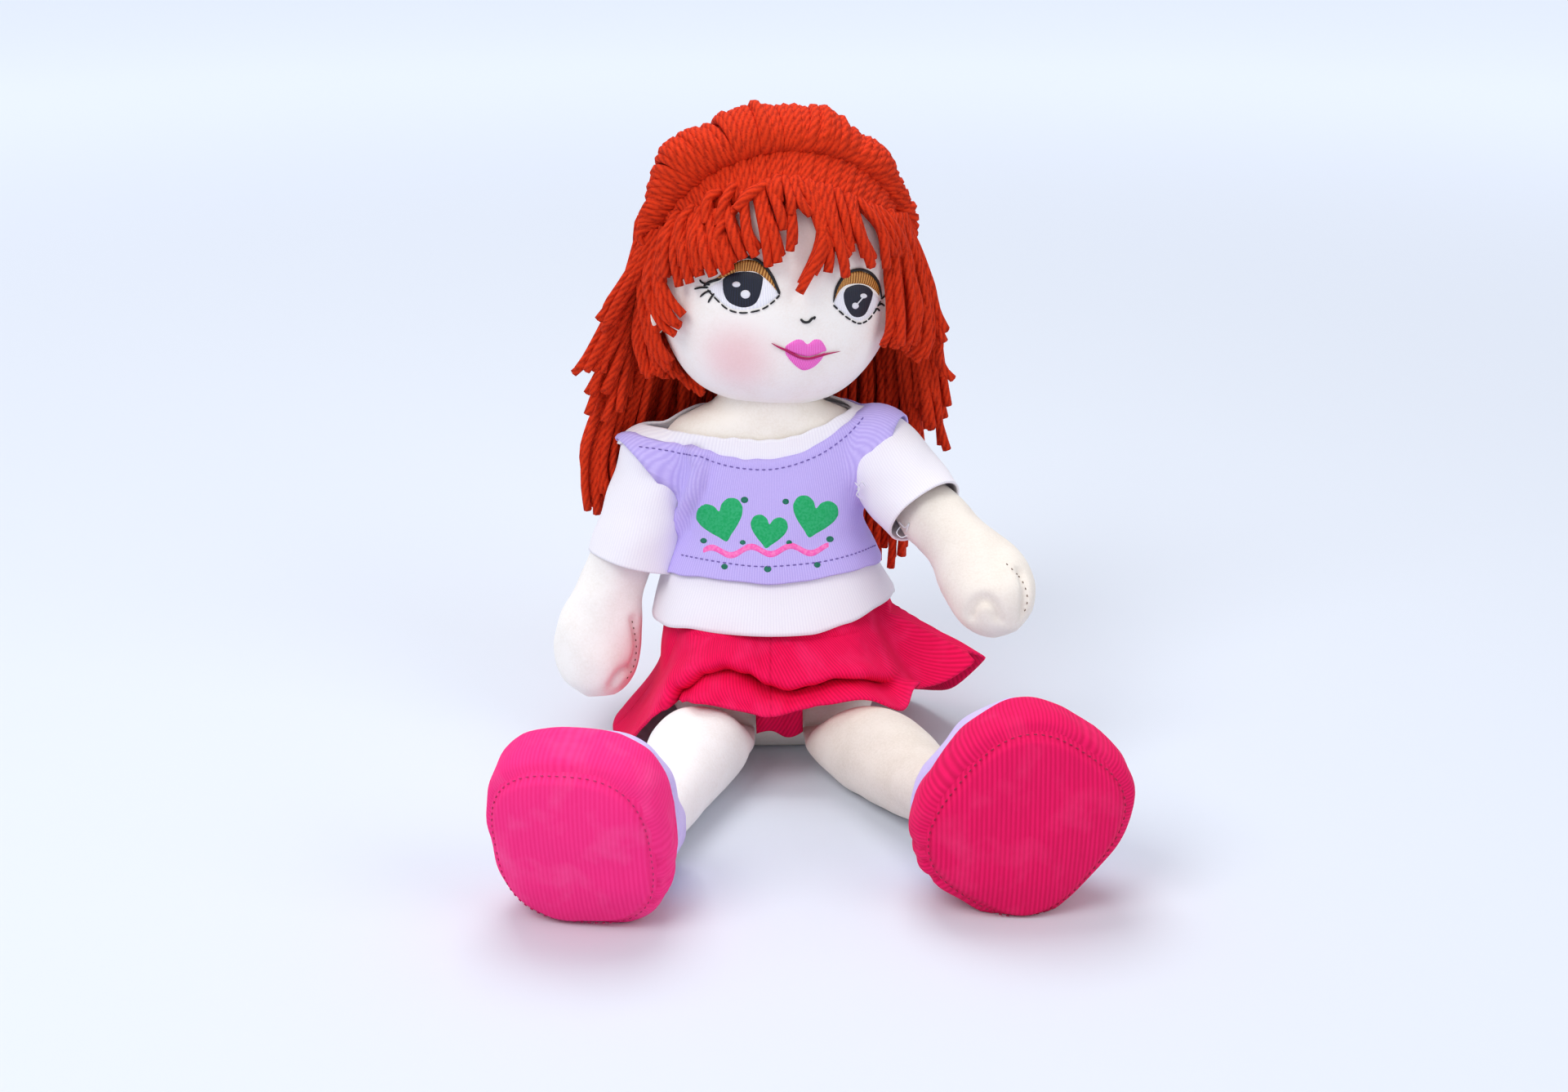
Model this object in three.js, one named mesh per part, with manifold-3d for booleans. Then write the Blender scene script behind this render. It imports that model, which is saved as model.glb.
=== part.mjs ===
// Seated rag doll with yarn hair, jersey top, needlecord skirt and soft shoes.
// Millimetres, +Z up. The doll faces -Y. The origin is the middle of the flat seat.
// Left and right are the doll's own, so the left arm is on the +X side.

import * as THREE from 'three';
import { mergeVertices } from 'three/addons/utils/BufferGeometryUtils.js';
import Module from 'manifold-3d';

const wasm = await Module();
wasm.setup();

// Cloth and clearances
const skinCloth = 1.1;
const jerseyCloth = 1.1;
const cordCloth = 1.5;
const clearance = 0.35;

// Torso: sizes across (width) and front to back (depth) at heights up its own axis
const torsoLean = 4.5;
const torsoRoll = 1;
const seatWidth = 64;
const seatDepth = 52;
const seamHeight = 14;
const seamWidth = 96;
const seamDepth = 76;
const hipHeight = 40;
const hipWidth = 104;
const hipDepth = 82;
const waistHeight = 86;
const waistWidth = 90;
const waistDepth = 72;
const chestHeight = 114;
const chestWidth = 82;
const chestDepth = 64;
const shoulderHeight = 146;
const shoulderWidth = 104;
const shoulderDepth = 52;
const slopeHeight = 159;
const slopeWidth = 90;
const neckHeight = 168;
const neckRadius = 26;

// Head, in its own frame with the neck joint at the origin
const headWidth = 118;
const headDepth = 94;
const headHeight = 129;
const headYaw = 15;
const headRoll = 2;
const headNod = 3;
const headShiftX = 0.5;
const headShiftY = -7;
const headJaw = 0.72;
const headCrown = 0.9;
const earSize = 18;
const earHeight = 42;
const earThickness = 3.4;

// Arms
const shoulderJointX = 55.5;
const shoulderJointHeight = 137;
const armRootRadius = 9;
const armRootSpan = 19;
const armWidth = 32;
const handWidth = 43;
const handThickness = 33;
const armLength = { '-1': 120, 1: 116 };
const armBow = 3;
const armDirection = { '-1': new THREE.Vector3(-0.3, -0.21, -0.93), 1: new THREE.Vector3(0.51, -0.71, -0.46) };
const armholeRadius = 19;
const shirtArmholeRadius = 16;

// Legs and hip seams; the left leg is sewn on a little further out
const hipSeamX = { '-1': 28, 1: 33 };
const hipSeamWidth = 38;
const hipSeamThickness = 5;
const thighWidth = 44;
const calfWidth = 35;
const ankleWidth = 31;
const thighAt = 34;
const legLength = 112;
const legSpread = { '-1': 16, 1: 27 };
const ankleLift = { '-1': 4, 1: 20 };
const restingFlat = 0.5;

// Shoes; plump is how full each is stuffed, face turns it inward, tilt leans it and nod tips its toe forward
const shoeWidth = 79;
const shoeLength = 89;
const shoePose = {
  '-1': { x: -82, y: -205, plump: 0.94, face: 12, tilt: -3, nod: 11 },
  1: { x: 106, y: -192, plump: 1, face: -4, tilt: 36, nod: 0 },
};
const soleCrown = 5;
const bandDepth = 30;
const shoeDepth = 60;

// T-shirt, vest and skirt
const shirtHemHeight = 66;
const neckBandWidth = 9;
const neckFrontHeight = 150;
const neckSideHeight = 157;
const hemFlare = 9;
const vestHemHeight = 88;
const vestFrontHeight = 141;
const sleeveRootRadius = 20;
const cuffRadius = 22.5;
const skirtTop = 90;
const elasticWidth = 8;
const elasticThickness = 1.2;

// Hair
const capThickness = 5;
const rollThickness = 13;
const bandYarn = 4;
const fringeYarn = 4;

const vec = (x, y, z) => new THREE.Vector3(x, y, z);
const radians = THREE.MathUtils.degToRad;
const mix = THREE.MathUtils.lerp;
const ease = THREE.MathUtils.smoothstep;

// Smooth value of one measure between stations, with slopes taken from the neighbours
function between(stations, key, at) {
  const last = stations.length - 1;
  const place = THREE.MathUtils.clamp(at, stations[0].at, stations[last].at);
  let k = 0;
  while (k < last - 1 && stations[k + 1].at < place) k += 1;
  const value = (i) => stations[i][key] ?? (key === 'square' ? 2 : 0);
  const slope = (i) => {
    const a = Math.max(i - 1, 0);
    const b = Math.min(i + 1, last);
    return (value(b) - value(a)) / (stations[b].at - stations[a].at);
  };
  const span = stations[k + 1].at - stations[k].at;
  const t = (place - stations[k].at) / span;
  const h00 = (1 + 2 * t) * (1 - t) ** 2;
  const h10 = t * (1 - t) ** 2;
  const h01 = t * t * (3 - 2 * t);
  const h11 = t * t * (t - 1);
  return h00 * value(k) + h10 * span * slope(k) + h01 * value(k + 1) + h11 * span * slope(k + 1);
}

// Skin of a stuffed form: oval rings stacked along z, u once round from +X towards +Y
function oval(stations) {
  return (u, at) => {
    const angle = 2 * Math.PI * u;
    const power = 2 / between(stations, 'square', at);
    const bend = (value) => Math.sign(value) * Math.abs(value) ** power;
    const x = between(stations, 'x', at) + (between(stations, 'wide', at) / 2) * bend(Math.cos(angle));
    const y = between(stations, 'y', at) + (between(stations, 'deep', at) / 2) * bend(Math.sin(angle));
    return vec(x, y, at);
  };
}

// The same skin pushed out (or in, when negative) square to itself
function grow(surface, distance, stepAt = 0.3) {
  const stepU = 0.003;
  return (u, at) => {
    const around = surface(u + stepU, at).sub(surface(u - stepU, at));
    const upward = surface(u, at + stepAt).sub(surface(u, at - stepAt));
    const normal = around.cross(upward).normalize();
    const amount = typeof distance === 'function' ? distance(u, at) : distance;
    return surface(u, at).addScaledVector(normal, amount);
  };
}

// One closed body from a grid of points; layers are listed from the outside in
function bodyFromGrids(layers, columns, rows, wrap, startPole, endPole) {
  const positions = [];
  const faces = [];
  const ring = wrap ? columns : columns + 1;
  const grids = layers.map((surface) => {
    const grid = [];
    for (let j = 0; j <= rows; j += 1) {
      const pole = (j === 0 && startPole) || (j === rows && endPole);
      const row = [];
      for (let i = 0; i < ring; i += 1) {
        if (pole && i > 0) {
          row.push(row[0]);
          continue;
        }
        row.push(positions.length / 3);
        const p = pole ? middle(surface, j / rows) : surface(i / columns, j / rows);
        positions.push(p.x, p.y, p.z);
      }
      grid.push(row);
    }
    return grid;
  });
  const triangle = (a, b, c) => {
    if (a !== b && b !== c && c !== a) faces.push(a, b, c);
  };
  const quad = (a, b, c, d) => {
    triangle(a, b, c);
    triangle(a, c, d);
  };
  const next = (i) => (wrap ? (i + 1) % ring : i + 1);
  grids.forEach((grid, layer) => {
    for (let j = 0; j < rows; j += 1) {
      for (let i = 0; i < columns; i += 1) {
        const [a, b, c, d] = [grid[j][i], grid[j][next(i)], grid[j + 1][next(i)], grid[j + 1][i]];
        if (layer === 0) quad(a, b, c, d);
        else quad(c, b, a, d);
      }
    }
  });
  if (grids.length === 2) {
    const [outer, inner] = grids;
    for (let i = 0; i < columns; i += 1) {
      if (!startPole) quad(inner[0][i], inner[0][next(i)], outer[0][next(i)], outer[0][i]);
      if (!endPole) quad(outer[rows][i], outer[rows][next(i)], inner[rows][next(i)], inner[rows][i]);
    }
    for (let j = 0; j < rows && !wrap; j += 1) {
      quad(outer[j][0], outer[j + 1][0], inner[j + 1][0], inner[j][0]);
      quad(inner[j][columns], inner[j + 1][columns], outer[j + 1][columns], outer[j][columns]);
    }
  } else {
    [[0, startPole, 1], [rows, endPole, 0]].forEach(([j, pole, flip]) => {
      if (pole) return;
      const hub = positions.length / 3;
      const p = middle(layers[0], j / rows);
      positions.push(p.x, p.y, p.z);
      for (let i = 0; i < columns; i += 1) {
        const [a, b] = flip ? [grids[0][j][next(i)], grids[0][j][i]] : [grids[0][j][i], grids[0][j][next(i)]];
        triangle(a, b, hub);
      }
    });
  }
  const geometry = new THREE.BufferGeometry();
  geometry.setAttribute('position', new THREE.Float32BufferAttribute(positions, 3));
  geometry.setIndex(faces);
  return geometry;
}

// Middle of a ring: the mean of points all round it
function middle(surface, v) {
  const count = 12;
  const sum = vec(0, 0, 0);
  for (let i = 0; i < count; i += 1) sum.add(surface(i / count, v));
  return sum.divideScalar(count);
}

function signedVolume(geometry) {
  const p = geometry.attributes.position;
  const index = geometry.index.array;
  let volume = 0;
  for (let k = 0; k < index.length; k += 3) {
    const [a, b, c] = [0, 1, 2].map((n) => vec(0, 0, 0).fromBufferAttribute(p, index[k + n]));
    volume += a.dot(b.cross(c)) / 6;
  }
  return volume;
}

// Closed geometry to a solid in world place
function solid(geometry, frame) {
  const bare = geometry.clone();
  bare.deleteAttribute('normal');
  bare.deleteAttribute('uv');
  if (frame) bare.applyMatrix4(frame);
  const merged = mergeVertices(bare, 1e-4);
  const faces = Uint32Array.from(merged.index.array);
  if (signedVolume(merged) < 0) {
    for (let k = 0; k < faces.length; k += 3) [faces[k], faces[k + 1]] = [faces[k + 1], faces[k]];
  }
  const vertProperties = Float32Array.from(merged.attributes.position.array);
  return new wasm.Manifold(new wasm.Mesh({ numProp: 3, vertProperties, triVerts: faces }));
}

// A closed stuffed body between two levels of a skin; a level with no width ends in a pole
function stuffed(surface, levels, columns, frame, startPole = false, endPole = false) {
  const rows = levels.length - 1;
  const skin = (u, v) => surface(u, levels[Math.round(v * rows)]);
  return solid(bodyFromGrids([skin], columns, rows, true, startPole, endPole), frame);
}

// A sheet between an outer and an inner surface over u and v from 0 to 1
function sheet(outer, inner, columns, rows, frame, wrap = true, startPole = false) {
  return solid(bodyFromGrids([outer, inner], columns, rows, wrap, startPole, false), frame);
}

// A faceted ball; a clear ball is larger, so that its flats also keep outside the radius
const ballSides = 14;
const ballRings = 8;
const ball = (radius, centre) => solid(
  new THREE.SphereGeometry(radius, ballSides, ballRings),
  new THREE.Matrix4().makeTranslation(centre.x, centre.y, centre.z),
);
const flatShrink = Math.cos(Math.PI / ballSides) * Math.cos(Math.PI / (2 * ballRings));
const clearBall = (radius, centre) => ball(radius / flatShrink, centre);

// Everything lower than a level, for flat resting faces
const worldSize = 600;
const below = (level) => solid(
  new THREE.BoxGeometry(worldSize, worldSize, worldSize),
  new THREE.Matrix4().makeTranslation(0, 0, level - worldSize / 2),
);

const largest = (body) => body.decompose().sort((a, b) => b.volume() - a.volume())[0];

const steps = (from, to, count) => Array.from({ length: count + 1 }, (_, i) => mix(from, to, i / count));

// Levels up a round form, closer together near its ends
const roundSteps = (from, to, count) => Array.from(
  { length: count + 1 },
  (_, i) => mix(from, to, 0.5 - 0.5 * Math.cos((Math.PI * i) / count)),
);

// Frames of the bodies
const torsoFrame = new THREE.Matrix4().makeRotationFromEuler(
  new THREE.Euler(-radians(torsoLean), -radians(torsoRoll), 0),
);
const inTorso = (x, y, z) => vec(x, y, z).applyMatrix4(torsoFrame);
const neckJoint = inTorso(0, 0, neckHeight);
const headFrame = new THREE.Matrix4()
  .makeRotationFromEuler(new THREE.Euler(-radians(torsoLean + headNod), radians(headRoll), radians(headYaw)))
  .setPosition(neckJoint);
const shoulderJoint = (side) => inTorso(side * shoulderJointX, 0, shoulderJointHeight);

function frameAlong(origin, direction, acrossHint) {
  const z = direction.clone().normalize();
  const x = acrossHint.clone().addScaledVector(z, -acrossHint.dot(z)).normalize();
  const y = z.clone().cross(x);
  return new THREE.Matrix4().makeBasis(x, y, z).setPosition(origin);
}

// Torso: seat, hips, waist, chest, shoulder slope, and a neck that ends in a ball
const neckDome = steps(0, 78, 3).map((angle) => ({
  at: neckHeight + neckRadius * Math.sin(radians(angle)),
  wide: 2 * neckRadius * Math.cos(radians(angle)),
  deep: 2 * neckRadius * Math.cos(radians(angle)),
}));
const torsoStations = [
  { at: -6, wide: seatWidth - 14, deep: seatDepth - 14, square: 3.4 },
  { at: 0, wide: seatWidth, deep: seatDepth, square: 3.4 },
  { at: seamHeight, wide: seamWidth, deep: seamDepth, square: 3.4 },
  { at: hipHeight, wide: hipWidth, deep: hipDepth, square: 2.7 },
  { at: waistHeight, wide: waistWidth, deep: waistDepth, square: 2.3 },
  { at: chestHeight, wide: chestWidth, deep: chestDepth, square: 2.3 },
  { at: shoulderHeight, wide: shoulderWidth, deep: shoulderDepth, square: 2.3 },
  { at: slopeHeight, wide: slopeWidth, deep: mix(shoulderDepth, 2 * neckRadius, 0.4), square: 2.1 },
  ...neckDome,
];
const torsoSurface = oval(torsoStations);
const torsoColumns = 18;
const torsoTop = neckDome[neckDome.length - 1].at;
const clothLevels = [shirtHemHeight, mix(shirtHemHeight, vestHemHeight, 0.5), vestHemHeight, 104, 122, 140];
const torsoLevels = [-6, 2, seamHeight, 36, ...clothLevels, slopeHeight, ...neckDome.map((s) => s.at)];
const torsoBody = (distance) => stuffed(grow(torsoSurface, distance), torsoLevels, torsoColumns, torsoFrame);

// The torso as its flats lie between those levels, which the clothes follow
function torsoFlats(u, at) {
  const k = Math.max(torsoLevels.findIndex((level) => level > at), 1);
  const part = (at - torsoLevels[k - 1]) / (torsoLevels[k] - torsoLevels[k - 1]);
  return torsoSurface(u, torsoLevels[k - 1]).lerp(torsoSurface(u, torsoLevels[k]), part);
}

const armCup = (extra) => clearBall(armRootRadius + extra, shoulderJoint(1))
  .add(clearBall(armRootRadius + extra, shoulderJoint(-1)));
const neckOpeningRadius = 0.45 * neckRadius;
const neckOpening = (extra) => ball(neckOpeningRadius + extra, inTorso(0, 0, torsoTop));
const torsoSkin = torsoBody(0)
  .subtract(below(0))
  .subtract(armCup(clearance))
  .subtract(torsoBody(-skinCloth).subtract(below(skinCloth)).subtract(armCup(clearance + skinCloth)))
  .subtract(neckOpening(0));
const torsoFilling = torsoBody(-skinCloth - clearance)
  .subtract(below(skinCloth + clearance))
  .subtract(armCup(2 * clearance + skinCloth))
  .subtract(neckOpening(clearance));

// Head: an egg with full cheeks, open where it sits on the neck ball
const headMiddle = headHeight / 2;
const headStations = steps(-90, 90, 12).map((degrees) => {
  const angle = radians(degrees);
  const full = Math.max(Math.cos(angle), 0) ** (degrees < 0 ? headJaw : headCrown);
  return {
    at: headMiddle + headMiddle * Math.sin(angle),
    x: headShiftX,
    y: headShiftY,
    wide: headWidth * full,
    deep: headDepth * full,
  };
});
const headSurface = oval(headStations);
const headColumns = 20;
const headRows = roundSteps(0, headHeight, 11);

// The whole head grown by a distance, with a pole at the chin and one at the crown
function headBody(distance) {
  const grown = grow(headSurface, distance);
  const surface = (u, at) => {
    if (at <= 0 || at >= headHeight) {
      return vec(headShiftX, headShiftY, at <= 0 ? -distance : headHeight + distance);
    }
    return grown(u, at);
  };
  return stuffed(surface, headRows, headColumns, headFrame, true, true);
}
const neckBall = (extra) => clearBall(neckRadius + extra, neckJoint);
const headSkin = largest(
  headBody(0).subtract(neckBall(clearance)).subtract(headBody(-skinCloth)),
);
const headFilling = largest(headBody(-skinCloth - clearance).subtract(neckBall(clearance)));

// Ears: small padded flaps, flat against the side of the head
function ear(side) {
  const cheekX = between(headStations, 'wide', earHeight) / 2;
  const at = (x) => vec(headShiftX + side * (cheekX + x), headShiftY, earHeight);
  const outline = (u, v) => {
    const angle = 2 * Math.PI * u;
    const across = 0.5 * earSize * v;
    return vec(0, across * 0.7 * Math.cos(angle), across * Math.sin(angle));
  };
  const outer = (u, v) => outline(u, v).add(at(earThickness * (1 - 0.65 * v * v)));
  const inner = (u, v) => outline(u, v).add(at(-earThickness));
  return largest(sheet(outer, inner, 10, 2, headFrame, true, true).subtract(headBody(clearance)));
}

// Hair, placed by a direction seen from a point inside the head, a turn over the head and a height off it
const hairCentre = vec(headShiftX, headShiftY - 5, headMiddle + 14);
function hairPoint(swing, turn, lift) {
  const a = radians(swing);
  const b = radians(turn);
  const ray = vec(Math.sin(a), -Math.cos(a) * Math.cos(b), Math.cos(a) * Math.sin(b));
  const half = vec(headWidth / 2 + lift, headDepth / 2 + lift, headMiddle + lift);
  const start = hairCentre.clone().sub(vec(headShiftX, headShiftY, headMiddle));
  const s = start.clone().divide(half);
  const d = ray.clone().divide(half);
  const dd = d.dot(d);
  const sd = s.dot(d);
  const t = (-sd + Math.sqrt(sd * sd - dd * (s.dot(s) - 1))) / dd;
  return hairCentre.clone().addScaledVector(ray, t);
}

// A slab of yarn on the head between two turns; the lower edge may be jagged
function yarnSlab(swingLimit, fromTurn, toTurn, low, high, columns, rows) {
  const at = (u, v, lift) => {
    const swing = mix(-swingLimit, swingLimit, u);
    const end = typeof toTurn === 'function' ? toTurn(u) : toTurn;
    return hairPoint(swing, mix(fromTurn, end, v), typeof lift === 'function' ? lift(v) : lift);
  };
  return sheet((u, v) => at(u, v, high), (u, v) => at(u, v, low), columns, rows, headFrame, false);
}
const headClear = headBody(clearance + 0.1);
const bandLine = 31;
const rollLine = 62;
const hairBand = largest(
  yarnSlab(78, bandLine, rollLine + 3, -3, bandYarn + 1.5, 16, 3).subtract(headClear),
);
const fringeEnd = (u) => {
  const side = Math.abs(u - 0.5) * 2;
  const locks = 13;
  const saw = Math.abs(((u * locks) % 1) - 0.5) * 2;
  return -9 - 50 * side ** 2 - 9 * saw;
};
const fringe = largest(
  yarnSlab(76, bandLine - 1, fringeEnd, -3, (v) => fringeYarn + 1.5 + 3 * v, 26, 3).subtract(headClear),
);
const cap = largest(yarnSlab(80, rollLine + 46, 236, -3, capThickness, 12, 7).subtract(headClear));

// Crown roll: a fat arc of looped yarn from temple to temple
function crownRoll() {
  const section = (u, v) => {
    const swing = mix(-86, 86, v);
    const fade = Math.sqrt(Math.max(1 - ((2 * v - 1) ** 2) ** 6, 0));
    const reach = fade * (1 - 0.25 * Math.abs(2 * v - 1));
    const angle = 2 * Math.PI * u;
    const turn = mix(rollLine, rollLine + 42, 0.5 + 0.5 * Math.cos(angle) * reach);
    const lift = 0.9 + rollThickness * (0.5 + 0.5 * Math.sin(angle) * (0.2 + 0.8 * fade));
    return hairPoint(swing, turn, lift);
  };
  return solid(bodyFromGrids([section], 10, 18, true, true, true), headFrame);
}
const roll = largest(crownRoll().subtract(headClear).subtract(hairBand).subtract(cap));

// Hanging hair: locks with oval sections at world heights, kept clear of the cap
const hairReach = headBody(capThickness + 1.5)
  .add(yarnSlab(80, rollLine, -80, -3, fringeYarn + 6.5, 12, 4));
function lock(stations, columns) {
  const levels = steps(stations[0].at, stations[stations.length - 1].at, 8);
  return stuffed(oval(stations), levels, columns, null, true, true);
}
const rightLockStations = [
  { at: 108, x: -84, y: 42, wide: 2, deep: 2 },
  { at: 124, x: -82, y: 42, wide: 20, deep: 13 },
  { at: 150, x: -76, y: 42, wide: 38, deep: 18 },
  { at: 180, x: -70, y: 30, wide: 48, deep: 28 },
  { at: 208, x: -64, y: 18, wide: 42, deep: 44 },
  { at: 236, x: -56, y: 8, wide: 32, deep: 54 },
  { at: 262, x: -44, y: 4, wide: 4, deep: 6 },
];
const leftLockStations = [
  { at: 143, x: 80, y: 40, wide: 2, deep: 2 },
  { at: 156, x: 78, y: 40, wide: 18, deep: 12 },
  { at: 180, x: 70, y: 34, wide: 32, deep: 24 },
  { at: 208, x: 64, y: 26, wide: 36, deep: 40 },
  { at: 236, x: 58, y: 20, wide: 30, deep: 52 },
  { at: 264, x: 48, y: 16, wide: 4, deep: 6 },
];
const backHairStations = [
  { at: 84, x: 4, y: 52, wide: 60, deep: 6, square: 3 },
  { at: 104, x: 0, y: 53, wide: 96, deep: 12, square: 3 },
  { at: 140, x: -2, y: 52, wide: 116, deep: 14, square: 3 },
  { at: 172, x: 0, y: 54, wide: 112, deep: 20, square: 3 },
  { at: 200, x: 2, y: 58, wide: 96, deep: 22, square: 3 },
  { at: 222, x: 2, y: 62, wide: 60, deep: 12, square: 3 },
];

// Arms: a round sewn root, an even sleeve of stuffing, then a swelling mitten
const armRoot = [60, 30, 0].map((angle) => ({
  at: -armRootRadius * Math.sin(radians(angle)),
  wide: 2 * armRootRadius * Math.cos(radians(angle)),
  deep: 2 * armRootRadius * Math.cos(radians(angle)),
}));
const fingertip = 3;
function armStations(side) {
  const bow = side * armBow;
  const tip = armLength[side];
  const upper = mix(2 * armRootRadius, armWidth, 0.3);
  return [
    ...armRoot,
    { at: armRootSpan, wide: upper, deep: upper },
    { at: armRootSpan + 20, x: bow * 0.5, wide: armWidth, deep: armWidth },
    { at: tip / 2 + 2, x: bow, wide: armWidth, deep: armWidth - 1 },
    { at: tip - 32, x: bow * 0.6, wide: handWidth, deep: handThickness },
    { at: tip - 15, wide: handWidth * 0.93, deep: handThickness * 0.94 },
    { at: tip - 5, x: -bow * 0.4, wide: handWidth * 0.6, deep: handThickness * 0.62 },
    { at: tip, x: -bow * 0.5, wide: fingertip, deep: fingertip },
  ];
}
const armFrames = {};
[-1, 1].forEach((side) => {
  armFrames[side] = frameAlong(shoulderJoint(side), armDirection[side], vec(1, 0, 0));
});
const armColumns = 12;
function armBody(side, distance) {
  const tip = armLength[side];
  const levels = [
    -armRootRadius, ...armRoot.map((s) => s.at), armRootSpan, ...steps(armRootSpan + 18, tip - 12, 4), tip - 4, tip,
  ];
  const grown = grow(oval(armStations(side)), distance);
  const surface = (u, at) => {
    if (at <= -armRootRadius) return vec(0, 0, -armRootRadius - distance);
    if (at >= tip) return vec(-side * armBow * 0.5, 0, tip + distance);
    return grown(u, at);
  };
  return stuffed(surface, levels, armColumns, armFrames[side], true, true);
}
const rootOpeningRadius = 0.62 * armRootRadius;
const armRootEnd = (side) => vec(0, 0, -armRootRadius).applyMatrix4(armFrames[side]);
const armSkin = (side) => largest(
  armBody(side, 0).subtract(armBody(side, -skinCloth)).subtract(ball(rootOpeningRadius, armRootEnd(side))),
);
const armFilling = (side) => largest(
  armBody(side, -skinCloth - clearance).subtract(ball(rootOpeningRadius + clearance, armRootEnd(side))),
);

// Shirt and vest: sheets that follow the torso, lifted where they hang over the skirt
const hang = (at) => 1 - ease(at, skirtTop - 2, skirtTop + 22);
const facetSlack = 1;
const overSkirt = elasticThickness + cordCloth + 6 * clearance + facetSlack;
const shirtLift = (at) => clearance + hang(at) * overSkirt + hemFlare * (1 - ease(at, shirtHemHeight, skirtTop));
const vestLift = (at) => shirtLift(at) + jerseyCloth + clearance;
const frontness = (u) => Math.max(-Math.sin(2 * Math.PI * u), 0);
const neckEdge = (u) => mix(neckSideHeight, neckFrontHeight, frontness(u) ** 1.5);

// A garment layer with rows at the cloth levels, ending in its own top edge
function garment(hem, top, lift, thickness) {
  const levels = clothLevels.filter((level) => level >= hem);
  const rowGap = 2;
  const layer = (extra) => (u, v) => {
    const row = Math.round(v * levels.length);
    const end = top(u);
    const at = row === levels.length ? end : Math.min(levels[row], end - rowGap * (levels.length - row));
    return grow(torsoFlats, lift(at) + extra)(u, at);
  };
  return sheet(layer(thickness), layer(0), torsoColumns, levels.length, torsoFrame);
}
const armholes = (radius) => ball(radius, shoulderJoint(1)).add(ball(radius, shoulderJoint(-1)));
const shirtBody = largest(
  garment(shirtHemHeight, (u) => neckEdge(u) - neckBandWidth - clearance, shirtLift, jerseyCloth)
    .subtract(armholes(shirtArmholeRadius)),
);
const neckBandLayer = (extra) => (u, v) => (
  grow(torsoFlats, clearance + extra)(u, neckEdge(u) - neckBandWidth * (1 - v))
);
const neckBand = sheet(neckBandLayer(1.4 * jerseyCloth), neckBandLayer(0), torsoColumns, 1, torsoFrame);
const vestTop = (u) => {
  const strap = neckEdge(u) - neckBandWidth * 0.35;
  return mix(strap, vestFrontHeight, ease(frontness(u), 0.35, 1));
};
const vestOver = (at) => vestLift(at) + ease(at, neckFrontHeight - 16, neckFrontHeight - 6) * jerseyCloth * 0.5;
const vest = largest(
  garment(vestHemHeight, vestTop, vestOver, jerseyCloth).subtract(armholes(armholeRadius)),
);

// Sleeves: loose tubes round the arms, trimmed to the side of the vest
const dressedTorso = stuffed(
  grow(torsoFlats, (u, at) => vestOver(at) + jerseyCloth + clearance),
  [...clothLevels.slice(1, -1), ...steps(clothLevels[clothLevels.length - 1], slopeHeight, 3), neckHeight],
  torsoColumns,
  torsoFrame,
);
const sleeveLength = { '-1': 54, 1: 44 };
function sleeve(side) {
  const stations = [
    { at: -8, wide: 2 * sleeveRootRadius - 6, deep: 2 * sleeveRootRadius - 2 },
    { at: 14, wide: 2 * sleeveRootRadius, deep: 2 * sleeveRootRadius },
    { at: sleeveLength[side], x: side * 1.5, wide: 2 * cuffRadius, deep: 2 * cuffRadius - 3 },
  ];
  const surface = oval(stations);
  const layer = (extra) => (u, v) => grow(surface, extra)(u, mix(-7.5, sleeveLength[side] - 0.5, v));
  return largest(
    sheet(layer(0), layer(-jerseyCloth), 16, 3, armFrames[side])
      .subtract(dressedTorso)
      .subtract(armBody(side, clearance)),
  );
}

// Legs lie forward from a flat seam; rings stay parallel to that seam
const seamFront = inTorso(0, -seamDepth / 2, seamHeight);
const hipSeam = (side) => vec(side * hipSeamX[side], seamFront.y - hipSeamThickness / 2 - clearance, seamFront.z);
const legFrames = {};
[-1, 1].forEach((side) => {
  legFrames[side] = new THREE.Matrix4().makeBasis(vec(1, 0, 0), vec(0, 0, 1), vec(0, -1, 0)).setPosition(hipSeam(side));
});
const seamEdge = 1.2;
const legSquare = 6;
const ankleOverlap = 4;
const thighRise = 0.6 * thighAt;
const calfAt = mix(thighAt, legLength, 0.52);
function legStations(side) {
  const slant = Math.tan(radians(legSpread[side])) * side;
  const widen = 1 / Math.cos(radians(legSpread[side]));
  const ring = (at, wide, tall, lift) => ({
    at,
    x: slant * Math.max(at - legSquare, 0),
    y: tall / 2 - restingFlat + lift - seamFront.z,
    wide: wide * (at >= thighRise ? widen : 1),
    deep: tall,
  });
  return [
    ring(-hipSeamThickness / 2, hipSeamWidth - 2, seamEdge, seamFront.z + restingFlat - seamEdge / 2),
    ring(0, hipSeamWidth, hipSeamThickness, seamFront.z + restingFlat - hipSeamThickness / 2),
    ring(thighRise / 2, hipSeamWidth + 3, thighWidth * 0.38, 6),
    ring(thighRise, mix(hipSeamWidth, thighWidth, 0.6), thighWidth * 0.74, 2.2),
    ring(thighAt, thighWidth, thighWidth, 0),
    ring(calfAt, calfWidth, calfWidth, ankleLift[side] * 0.3),
    ring(legLength, ankleWidth, ankleWidth, ankleLift[side]),
    ring(legLength + ankleOverlap, ankleWidth, ankleWidth, ankleLift[side]),
  ];
}
const legColumns = 14;
const legRows = [0, 0.4 * thighRise, 0.75 * thighRise, thighRise, thighAt, ...steps(thighAt, legLength, 3).slice(1, 3)];
function legBody(side, distance, from, to) {
  const levels = [from, ...legRows.filter((row) => row > from + 1 && row < to - 1), to];
  return stuffed(grow(oval(legStations(side)), distance), levels, legColumns, legFrames[side]);
}
const legFloor = skinCloth - restingFlat;
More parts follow.
